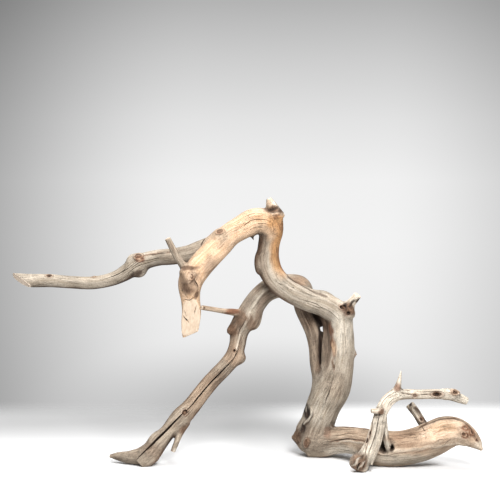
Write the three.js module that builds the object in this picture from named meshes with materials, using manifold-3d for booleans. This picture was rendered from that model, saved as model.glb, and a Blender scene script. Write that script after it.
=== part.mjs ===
// A weathered manzanita driftwood branch, as one grown piece of wood.
// Millimetres, +Z up. The viewer of the display side stands at -Y and looks along +Y.
// The piece stands on its low places: the foot of the leg, the elbow, the root knob and the big root.
// Every limb is a row of stations, and each station is [x, y, z, radius].
import * as THREE from "three";
import { mergeVertices } from "three/addons/utils/BufferGeometryUtils.js";
import Module from "manifold-3d";

// Driving dimensions.
const ORIGIN = new THREE.Vector3(-1.6, -49.1, 0); // bottom centre, in the frame that the stations use
const FLOOR_CUT = { width: 700, depth: 300, height: 60 }; // wears the low places flat at z = 0
const SWELL = [ // how a section departs from round, its turn set by the limb's seed, its twist a length
  { lobes: 2, share: 0.045, turn: 1, twist: 90 },
  { lobes: 3, share: 0.035, turn: 2.1, twist: -60 },
  { lobes: 5, share: 0.018, turn: 3.7, twist: 35 },
];
const CRACK_PROUD = 3; // how far a cutting blade stands out of the wood
const CRACK_STEP = 7; // length of a blade's straight pieces
const CRACK_TIP = 0.15; // how open a crack is at its two ends
const CUT_BLOCK = 90; // size of the block that makes a flat cut

// Hollows of the big root, which are older than the pale branch that grows across them:
// centre, half sizes, and tilt as the viewer sees it.
const SCOOP = { at: [240, -100, 56], size: [48, 16, 16], tilt: 10 };
const NOTCH = { at: [179, -80, 33], size: [9.5, 14, 9] };

// Flat cuts: a point of the cut and the way that its face looks.
const BRANCH_END_CUT = { at: [-296, -26, 241], facing: [-0.61, -0.35, -0.71] };
const SCARF_CUT = { at: [-74, -106.5, 203], facing: [0, -0.93, -0.36] };
const CROWN_END_CUT = { at: [-73, -98, 179.5], facing: [0.42, 0, -0.91] };

// The limbs, from root to tip.
const LIMBS = {
  trunk: {
    sides: 15, step: 12, seed: 0.4,
    stations: [
      [85, 4, 9, 14.6], [88, 2, 22, 22.6], [94, -1, 45, 23], [102, -6, 70, 23.3], [113, -11, 95, 24.5],
      [121, -15, 120, 20.1], [125, -19, 147, 17.1], [124, -23, 173, 16.1], [120, -27, 196, 16],
      [103, -31, 209, 15.2], [80, -34, 217, 14.4], [56, -36, 228, 14.4], [41, -36, 239, 14.8],
      [31, -36, 252, 14.9], [26, -36, 268, 14.9], [27, -38, 287, 13.7], [29, -41, 304, 14.8],
      [25, -44, 321, 17],
    ],
  },
  crown: {
    sides: 14, step: 10, seed: 2.1, cuts: [SCARF_CUT, CROWN_END_CUT],
    stations: [
      [31, -43, 315, 15.7], [23, -45, 321, 16.7], [7, -48, 321, 16.4], [-8, -54, 314, 15.1],
      [-23, -61, 305, 14.6], [-35, -69, 293, 15.2], [-48, -79, 280, 15.4], [-61, -89, 266, 15.4],
      [-70, -98, 253, 15.1], [-73, -103, 240, 13.5], [-72, -105, 226, 11.7], [-71, -105, 210, 11.7],
      [-73, -104, 193, 11.6], [-75, -102, 170, 11.2],
    ],
  },
  branch: {
    sides: 12, step: 10, seed: 3.3, cuts: [BRANCH_END_CUT],
    stations: [
      [-34, -66, 299, 11.6], [-46, -62, 292, 11.1], [-62, -56, 285, 11.2], [-77, -50, 279, 10.9],
      [-98, -45, 275, 10.6], [-117, -41, 273, 10.5], [-133, -38, 269, 11], [-146, -36, 263, 11.5],
      [-158, -33, 254, 10.8], [-172, -31, 246, 9.4], [-187, -29, 241, 8.9], [-207, -27, 238, 8.7],
      [-234, -26, 239, 8.5], [-260, -26, 241, 8.9], [-284, -26, 241, 9.1], [-310, -26, 242, 9.1],
    ],
  },
  leg: {
    sides: 13, step: 11, seed: 4.2,
    stations: [
      [-141, -57, 5, 11.7], [-129, -58, 15, 14.8], [-115, -55, 29, 13.5], [-102, -51, 43, 12.8],
      [-88, -46, 60, 13.6], [-75, -40, 75, 11.8], [-61, -34, 92, 11.3], [-46, -27, 109, 11.3],
      [-29, -19, 125, 11.5], [-18, -12, 138, 11.8], [-13, -6, 153, 11.4], [-10, -2, 170, 12.9],
      [-1, -2, 188, 15.4], [9, -4, 206, 15], [21, -8, 221, 14.6], [36, -11, 230, 15.2],
      [54, -13, 232, 15.9], [68, -14, 229, 16.5], [73, -11, 216, 13.8], [74, -7, 201, 10.9],
      [80, -5, 186, 9.9], [87, -4, 171, 10.1], [90, -4, 149, 8], [92, -6, 129, 8.2], [98, -7, 108, 10.6],
      [102, -8, 89, 11.9],
    ],
  },
  toe: {
    sides: 10, step: 9, seed: 5.1,
    stations: [
      [-128, -58, 17, 11.7], [-144, -55, 12, 10.8], [-157, -50, 10, 8.3], [-170, -45, 10, 6],
      [-182, -41, 9, 2.6],
    ],
  },
  flank: {
    sides: 10, step: 10, seed: 0.9,
    stations: [
      [110, -26, 215, 10.5], [105, -18, 194, 9.2], [108, -14, 173, 7.6], [107, -13, 150, 9],
      [106, -12, 122, 10.6], [105, -9, 97, 11.9],
    ],
  },
  web: {
    sides: 8, step: 10, seed: 1.2,
    stations: [
      [93, 0, 211, 9], [93, 5, 196, 8.6], [91, 6, 184, 5.6], [91, 4, 173, 4.2], [94, 1, 158, 6],
      [97, -3, 138, 8],
    ],
  },
  foot: {
    sides: 16, step: 10, seed: 1.7, hollows: [SCOOP, NOTCH],
    stations: [
      [75, 4, 21, 13.3], [83, 3, 21, 22.1], [100, -4, 21, 20.7], [118, -14, 25, 18.2], [136, -29, 28, 17.6],
      [153, -47, 28, 19.2], [170, -58, 25, 22.1], [187, -62, 24, 22.5], [205, -65, 26, 21.7],
      [224, -68, 31, 22], [242, -71, 39, 21.9], [259, -74, 47, 20.9], [274, -78, 48, 17.8],
      [288, -82, 42, 12.5], [298, -86, 34, 7.1], [304, -88, 27, 1.9],
    ],
  },
  pale: {
    sides: 10, step: 8, seed: 2.8,
    stations: [
      [145, -93, 2, 9.7], [147, -95, 12, 11.4], [153, -98, 24, 9.4], [159, -98, 37, 8], [164, -97, 52, 7.9],
      [169, -94, 67, 8], [174, -90, 80, 8.3], [181, -86, 91, 8.2], [191, -83, 98, 7.7],
      [203, -80, 99, 6.4], [221, -76, 98, 5.9], [239, -73, 98, 6.1], [255, -70, 97, 6.6],
      [266, -68, 95, 6.6], [277, -66, 91, 6.2], [287, -65, 87, 4.8],
    ],
  },
};

// Stubs, twigs and prongs: short limbs that grow out of the ones above.
const SHOOTS = {
  heel: { stations: [[91, 2, 43, 17], [80, 3, 35, 16], [70, 3, 27, 11], [63, 3, 25, 6], [59.5, 3, 25, 1.8]] },
  front_twig: {
    stations: [
      [-76, -100, 260, 6.4], [-83, -99, 270, 5.1], [-91, -98, 282, 4.5], [-97, -97, 294, 4.2],
      [-102, -96, 304, 3.8],
    ],
  },
  leg_twig: {
    stations: [
      [-6, -8, 193, 6], [-18, -14, 197, 5], [-31, -24, 200, 3.7], [-45, -35, 204, 3.4], [-60, -46, 208, 3.3],
    ],
  },
  leg_knob: { stations: [[-11, -6, 186, 8], [-18, -8, 177, 6.6], [-23, -9, 171, 5.3], [-25, -10, 168, 2.6]] },
  low_stub: { stations: [[-83, -46, 57, 6.5], [-87, -52, 44, 6], [-93, -56, 31, 4.4], [-98, -60, 20, 3.8]] },
  top_stub: {
    stations: [[35, -44, 328, 11.7], [34, -44, 337, 10.2], [31, -44, 344, 7.2], [28, -44, 351, 3]],
  },
  right_stub: {
    stations: [[125, -28, 198, 9.5], [132, -31, 207, 7.3], [139, -33, 215, 6], [145, -35, 223, 5.4]],
  },
  grey_stub: { stations: [[240, -52, 41, 6.5], [231, -46, 54, 6], [222, -40, 68, 6], [214, -36, 78, 5.8]] },
  root_neck: { stations: [[148, -92, 13, 8], [152, -76, 17, 8.5], [158, -56, 22, 10]] },
  front_prong: {
    stations: [[171, -98, 62, 5.7], [168, -101, 43, 5.4], [164, -102, 27, 3.8], [160, -103, 11, 1.3]],
  },
  rear_prong: {
    stations: [[175, -90, 69, 5.8], [178, -86, 51, 4.6], [180, -81, 35, 4.4], [181, -70, 22, 4.6]],
  },
  spike: { stations: [[191, -83, 100, 5.9], [195, -82, 110, 4.6], [197, -81, 119, 2.8], [199, -80, 130, 1]] },
  side_knob: { stations: [[172, -98, 81, 3.6], [165, -102, 81, 3.6], [159, -104, 82, 3.1]] },
  fork: { stations: [[256, -70, 98, 5.4], [266, -72, 101, 4.4], [275, -73, 98, 3.6]] },
};

// Knots and swellings that stand out of the wood: centre, half sizes, and tilt as the viewer sees it.
const LUMPS = {
  outer_corner: { at: [39, -43, 321], size: [12, 13, 9], tilt: 40 },
  burl: { at: [-74, -107, 250], size: [12.5, 12, 17] },
  burl_nub: { at: [-74, -117, 255], size: [6, 5.5, 5.5] },
  crown_knot: { at: [-36, -72, 305], size: [7, 8, 6.5], tilt: 20 },
  branch_bump: { at: [-149, -36, 268], size: [9, 8, 9.5] },
  branch_knot: { at: [-142, -41, 272], size: [6, 7, 6] },
  branch_under: { at: [-142, -37, 257], size: [10, 8, 10.5] },
  diagonal_hump: { at: [97, -31, 219], size: [13, 9, 8.5] },
  trunk_nub: { at: [140, -19, 144], size: [5, 4.5, 5.5] },
  leg_corner: { at: [-12, -10, 135], size: [9.5, 9, 7.5] },
  leg_bulge: { at: [7, -4, 190], size: [11.5, 10, 18] },
  leg_shoulder: { at: [-118, -55, 35], size: [13, 9, 9], tilt: 35 },
  elbow_lump: { at: [79, -1, 21], size: [13.5, 12, 13] },
  end_knot: { at: [281, -91, 50], size: [6, 5, 6] },
};

// Pits and rotted holes in the finished wood.
const PITS = {
  burl_mouth: { at: [-75, -120, 241], size: [7.5, 6, 7] },
  leg_knot: { at: [-82, -58, 70], size: [4, 6, 4] },
  leg_hole: { at: [-18, -24, 147], size: [2.5, 4, 2.5] },
  trunk_eye: { at: [78, -20, 65], size: [3.2, 8, 8.5], tilt: -20 },
  trunk_hole: { at: [73, -12, 42], size: [4, 6, 4.5] },
  collar_hole_high: { at: [125, -42, 208], size: [3, 5, 3] },
  collar_hole_low: { at: [132, -40, 198], size: [3, 5, 3] },
  grey_stub_end: { at: [214, -36, 79], size: [3.4, 3.4, 8], tilt: 30 },
  arm_pit: { at: [246, -80, 99], size: [9, 4, 3.4] },
  fork_pit: { at: [269, -77, 100], size: [5, 3.5, 2.5] },
};

// Drying cracks: each runs along a limb through points of [share of its length, degrees round it].
const CRACKS = {
  leg: {
    limb: "leg", width: 3.2, depth: 8,
    path: [[0.015, -36], [0.08, -27], [0.15, -16], [0.22, -8], [0.3, -4], [0.36, 4], [0.4, 16]],
  },
  foot: { limb: "foot", width: 1.8, depth: 4, path: [[0.2, -9], [0.28, -18], [0.36, -26], [0.42, -32]] },
  trunk: { limb: "trunk", width: 1.8, depth: 4, path: [[0.19, -3], [0.23, -3], [0.27, -12]] },
  arm: { limb: "pale", width: 1.8, depth: 3, path: [[0.55, -3], [0.61, 5], [0.68, 2], [0.75, -14]] },
};

const SHOOT_SIDES = 8;
const SHOOT_STEP = 9;
const LUMP_SIDES = { round: 9, high: 6 };

const wasm = await Module();
wasm.setup();

// The centre line, the radius and the section axes of a limb at share u of its length.
class Spine {
  constructor({ stations, seed = 0 }) {
    this.seed = seed;
    this.line = new THREE.CatmullRomCurve3(stations.map(([x, y, z]) => new THREE.Vector3(x, y, z)));
    this.line.arcLengthDivisions = 40 * stations.length;
    this.radii = new THREE.SplineCurve(stations.map((s, i) => new THREE.Vector2(i, s[3])));
    this.length = this.line.getLength();
  }

  at(u) {
    const t = this.line.getUtoTmapping(u);
    const tangent = this.line.getTangent(t);
    const back = new THREE.Vector3(0, 1, 0).addScaledVector(tangent, -tangent.y).normalize();
    const side = new THREE.Vector3().crossVectors(back, tangent);
    return { centre: this.line.getPoint(t), radius: this.radii.getPoint(t).y, tangent, back, side };
  }

  // The share by which a section swells at an angle, where 0 faces the viewer.
  swell(angle, along) {
    return SWELL.reduce((sum, { lobes, share, turn, twist }) => {
      return sum + share * Math.cos(lobes * angle + turn * this.seed + along / twist);
    }, 1);
  }

  // A point of the surface, or one that is lifted off it.
  surface(u, angle, lift = 0) {
    const { centre, radius, back, side } = this.at(u);
    const reach = radius * this.swell(angle, u * this.length) + lift;
    return centre.clone().addScaledVector(back, -reach * Math.cos(angle))
      .addScaledVector(side, reach * Math.sin(angle));
  }
}

// A closed tube round a spine: a cylinder whose rings are moved onto the stations.
function tube(spine, sides, step) {
  const rings = Math.max(2, Math.ceil(spine.length / step));
  const geometry = new THREE.CylinderGeometry(1, 1, 1, sides, rings);
  const position = geometry.getAttribute("position");
  for (let i = 0; i < position.count; i++) {
    const u = position.getY(i) + 0.5;
    const angle = Math.atan2(position.getX(i), position.getZ(i));
    const share = Math.hypot(position.getX(i), position.getZ(i));
    const { centre } = spine.at(u);
    const point = centre.clone().lerp(spine.surface(u, angle), Math.min(1, share));
    position.setXYZ(i, point.x, point.y, point.z);
  }
  return geometry;
}

// A three-sided blade that follows a path over a limb, thin at both ends, edge into the wood.
function blade(spine, { path, width, depth }) {
  const route = new THREE.SplineCurve(path.map(([u, degrees]) => {
    return new THREE.Vector2(u, THREE.MathUtils.degToRad(degrees));
  }));
  const span = (path[path.length - 1][0] - path[0][0]) * spine.length;
  const rings = Math.ceil(span / CRACK_STEP);
  const geometry = new THREE.CylinderGeometry(1, 1, 1, 3, rings, false, Math.PI);
  const position = geometry.getAttribute("position");
  for (let i = 0; i < position.count; i++) {
    const along = position.getY(i) + 0.5;
    const open = CRACK_TIP + (1 - CRACK_TIP) * Math.sqrt(Math.sin(Math.PI * along));
    const { x: u, y: angle } = route.getPoint(along);
    const { radius } = spine.at(u);
    const turn = position.getX(i) * open * width / radius;
    const lift = position.getZ(i) < -0.5 ? -depth * open : CRACK_PROUD;
    const point = spine.surface(u, angle + turn, lift);
    position.setXYZ(i, point.x, point.y, point.z);
  }
  return geometry;
}

// An ellipsoid, for a lump or a pit.
function ellipsoid({ at, size, tilt = 0 }) {
  const geometry = new THREE.SphereGeometry(1, LUMP_SIDES.round, LUMP_SIDES.high);
  geometry.scale(...size);
  geometry.rotateY(THREE.MathUtils.degToRad(-tilt));
  geometry.translate(...at);
  return geometry;
}

// A block that takes away everything on the far side of a flat cut.
function cutBlock({ at, facing }) {
  const normal = new THREE.Vector3(...facing).normalize();
  const geometry = new THREE.BoxGeometry(CUT_BLOCK, CUT_BLOCK, CUT_BLOCK);
  geometry.translate(0, 0, CUT_BLOCK / 2);
  geometry.applyQuaternion(new THREE.Quaternion().setFromUnitVectors(new THREE.Vector3(0, 0, 1), normal));
  geometry.translate(...at);
  return geometry;
}

// A closed geometry as a solid for cutting and joining.
function solid(geometry) {
  const bare = geometry.clone();
  bare.deleteAttribute("normal");
  bare.deleteAttribute("uv");
  const merged = mergeVertices(bare, 1e-4);
  return new wasm.Manifold(new wasm.Mesh({
    numProp: 3,
    vertProperties: merged.getAttribute("position").array,
    triVerts: new Uint32Array(merged.index.array),
  }));
}

// One limb with its own flat cuts and hollows, before it joins the others.
function limbSolid(limb) {
  let piece = solid(tube(new Spine(limb), limb.sides ?? SHOOT_SIDES, limb.step ?? SHOOT_STEP));
  for (const cut of limb.cuts ?? []) piece = piece.subtract(solid(cutBlock(cut)));
  for (const hollow of limb.hollows ?? []) piece = piece.subtract(solid(ellipsoid(hollow)));
  return piece;
}

const grown = [
  ...Object.values(LIMBS).map(limbSolid),
  ...Object.values(SHOOTS).map(limbSolid),
  ...Object.values(LUMPS).map((lump) => solid(ellipsoid(lump))),
];
let wood = grown.reduce((whole, piece) => whole.add(piece));
for (const pit of Object.values(PITS)) wood = wood.subtract(solid(ellipsoid(pit)));
for (const crack of Object.values(CRACKS)) {
  wood = wood.subtract(solid(blade(new Spine(LIMBS[crack.limb]), crack)));
}

const floor = new THREE.BoxGeometry(FLOOR_CUT.width, FLOOR_CUT.depth, FLOOR_CUT.height);
floor.translate(0, ORIGIN.y, -FLOOR_CUT.height / 2);
wood = wood.subtract(solid(floor));

const cut = wood.getMesh();
const geometry = new THREE.BufferGeometry();
geometry.setAttribute("position", new THREE.BufferAttribute(cut.vertProperties, 3));
geometry.setIndex(new THREE.BufferAttribute(cut.triVerts, 1));
geometry.translate(-ORIGIN.x, -ORIGIN.y, -ORIGIN.z);
geometry.computeVertexNormals();

const driftwood = new THREE.Mesh(geometry, new THREE.MeshStandardMaterial({
  color: 0xb5a48c,
  roughness: 0.82,
  metalness: 0,
}));
driftwood.name = "driftwood";

const part = new THREE.Group();
part.add(driftwood);
export default part;
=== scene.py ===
import math
import random

import bpy
import numpy as np
import openvdb
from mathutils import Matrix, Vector, noise


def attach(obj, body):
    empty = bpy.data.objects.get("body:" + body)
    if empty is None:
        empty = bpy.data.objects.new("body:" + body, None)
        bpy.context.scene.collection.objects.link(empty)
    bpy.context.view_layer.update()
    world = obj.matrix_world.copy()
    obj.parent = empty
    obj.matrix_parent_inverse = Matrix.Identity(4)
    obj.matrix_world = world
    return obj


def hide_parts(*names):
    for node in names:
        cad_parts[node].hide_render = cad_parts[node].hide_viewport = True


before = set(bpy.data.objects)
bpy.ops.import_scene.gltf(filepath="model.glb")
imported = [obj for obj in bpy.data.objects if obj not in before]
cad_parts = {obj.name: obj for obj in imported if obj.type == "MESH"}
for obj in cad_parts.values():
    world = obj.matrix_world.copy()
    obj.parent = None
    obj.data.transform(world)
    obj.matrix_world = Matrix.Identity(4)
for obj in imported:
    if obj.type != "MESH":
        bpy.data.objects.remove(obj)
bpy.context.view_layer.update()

MM = 0.001
ORIGIN = np.array([-1.6, -49.1, 0.0])  # bottom centre, in the frame that the tables use
BODY = "root"
NODE = "driftwood"

# How a limb's section departs from round: lobes, share of the radius, turn by seed, length of a twist.
SWELL = [(2, 0.045, 1.0, 90), (3, 0.035, 2.1, -60), (5, 0.018, 3.7, 35)]
SPINE_STEP = 1.5  # spacing of the samples along a centre line
RING_SIDES = 30

# The grid on which the limbs are fused.
VOXEL = 1.0
BAND = 9  # voxels on each side of the surface in which distances are kept
LOWEST = np.array([-326, -140, -8])
HIGHEST = np.array([320, 40, 372])
FINEST_TRIANGLES = 166000  # of the skin before cracks are cut
EDGE_ANGLE = 42  # degrees between two faces from which their edge is sharp
FAR = 1000.0  # farther apart than any two points of the wood

# How shut in a point of the surface is: distances off it at which other wood is felt, and the most it counts.
CLOSE_REACHES = (2.5, 5.0, 8.5)
CLOSE_MOST = 1.5

# How far the limbs' grain mixes where they meet, and how it runs.
LIMB_FADE = 9
LIMB_APART = 1000.0  # keeps the patterns of two limbs from being the same
GRAIN_TWIST = 420.0  # millimetres along a limb in which its grain turns by a radian
GRAIN_BATCH = 20000  # points that are measured at a time
SEED_SHIFT = (1.0, 1.7, 0.6)  # the way that a pattern moves with its seed

# The layers of the weathered grain: width in millimetres, how much longer than wide, and seed.
GRAIN_LAYERS = [(8.0, 7.0, 1.0), (2.6, 16.0, 2.0), (1.15, 24.0, 3.0), (0.55, 30.0, 4.0)]

# The tones of the wood, light and dark: linear colours of a streak's two sides.
TONES = {
    "silver": ((0.57, 0.49, 0.395), (0.37, 0.30, 0.222)),
    "drab": ((0.47, 0.385, 0.295), (0.22, 0.165, 0.12)),
    "sand": ((0.59, 0.455, 0.335), (0.38, 0.27, 0.185)),
    "honey": ((0.80, 0.565, 0.38), (0.62, 0.385, 0.225)),
    "amber": ((0.66, 0.37, 0.17), (0.46, 0.23, 0.10)),
    "blush": ((0.78, 0.58, 0.42), (0.60, 0.41, 0.275)),
    "cream": ((0.84, 0.755, 0.63), (0.60, 0.50, 0.39)),
    "tan": ((0.56, 0.395, 0.27), (0.35, 0.225, 0.145)),
    "bark": ((0.225, 0.133, 0.082), (0.092, 0.05, 0.03)),
    "rust": ((0.29, 0.125, 0.065), (0.11, 0.043, 0.024)),
    "umber": ((0.125, 0.078, 0.052), (0.046, 0.028, 0.019)),
    # near-black painted shade, for holes, slits and gaps
    "hole_shade": ((0.05, 0.034, 0.026), (0.018, 0.012, 0.009)),
    "fresh": ((0.86, 0.70, 0.535), (0.69, 0.515, 0.37)),
    "pith": ((0.97, 0.82, 0.67), (0.88, 0.69, 0.54)),
}
LIMB_TONES = {
    "trunk": "silver", "crown": "honey", "branch": "silver", "leg": "drab", "toe": "drab",
    "flank": "drab", "web": "bark", "foot": "sand", "pale": "cream", "heel": "drab",
    "front_twig": "drab", "leg_twig": "sand", "leg_knob": "bark", "low_stub": "drab", "top_stub": "cream",
    "right_stub": "cream", "grey_stub": "silver", "root_neck": "umber", "front_prong": "cream",
    "rear_prong": "cream", "spike": "cream", "side_knob": "silver", "fork": "cream",
    "splinter": "umber", "outer_corner": "amber",
}
# What darkens the wood, in linear colours: painted shade where other wood closes in and deep in cracks, and the
# stains, lines and eyes of the knots.
# painted shade, laid where other wood closes in on the surface
PAINTED_SHADE = (0.05, 0.03, 0.02, 1)
PAINTED_SHADE_STRENGTH = 0.85
PAINTED_SHADE_SHUT = (0.08, 0.75)  # how shut in the wood is where the painted shade starts, and where it is full
CRACK_SHADE = (0.03, 0.018, 0.012, 1)
CRACK_DEPTHS = (0.8, 2.2)  # below the skin, from where painted shade starts to darken a crack's wall to where it is full
KNOT_STAIN = (0.25, 0.13, 0.075, 1)
KNOT_STAIN_STRENGTH = 0.45
KNOT_LINE = (0.045, 0.024, 0.014, 1)
KNOT_EYE = (0.05, 0.027, 0.016, 1)
LINE_STRENGTH = 0.6  # of the thin dark lines along the grain
LINE_TONE = 0.5  # their tone, as a share of the dark tone round them

# How painted patches and strokes drift off their drawn places: by how much, over what distance, and seed.
DRIFT, DRIFT_SIZE, DRIFT_SEED = 2.5, 9.0, 3
PATCH_CORE = 0.5  # the share of a patch's size in which it is full
STROKE_CORE = 0.35  # the share of a stroke's width in which it is full

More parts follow.
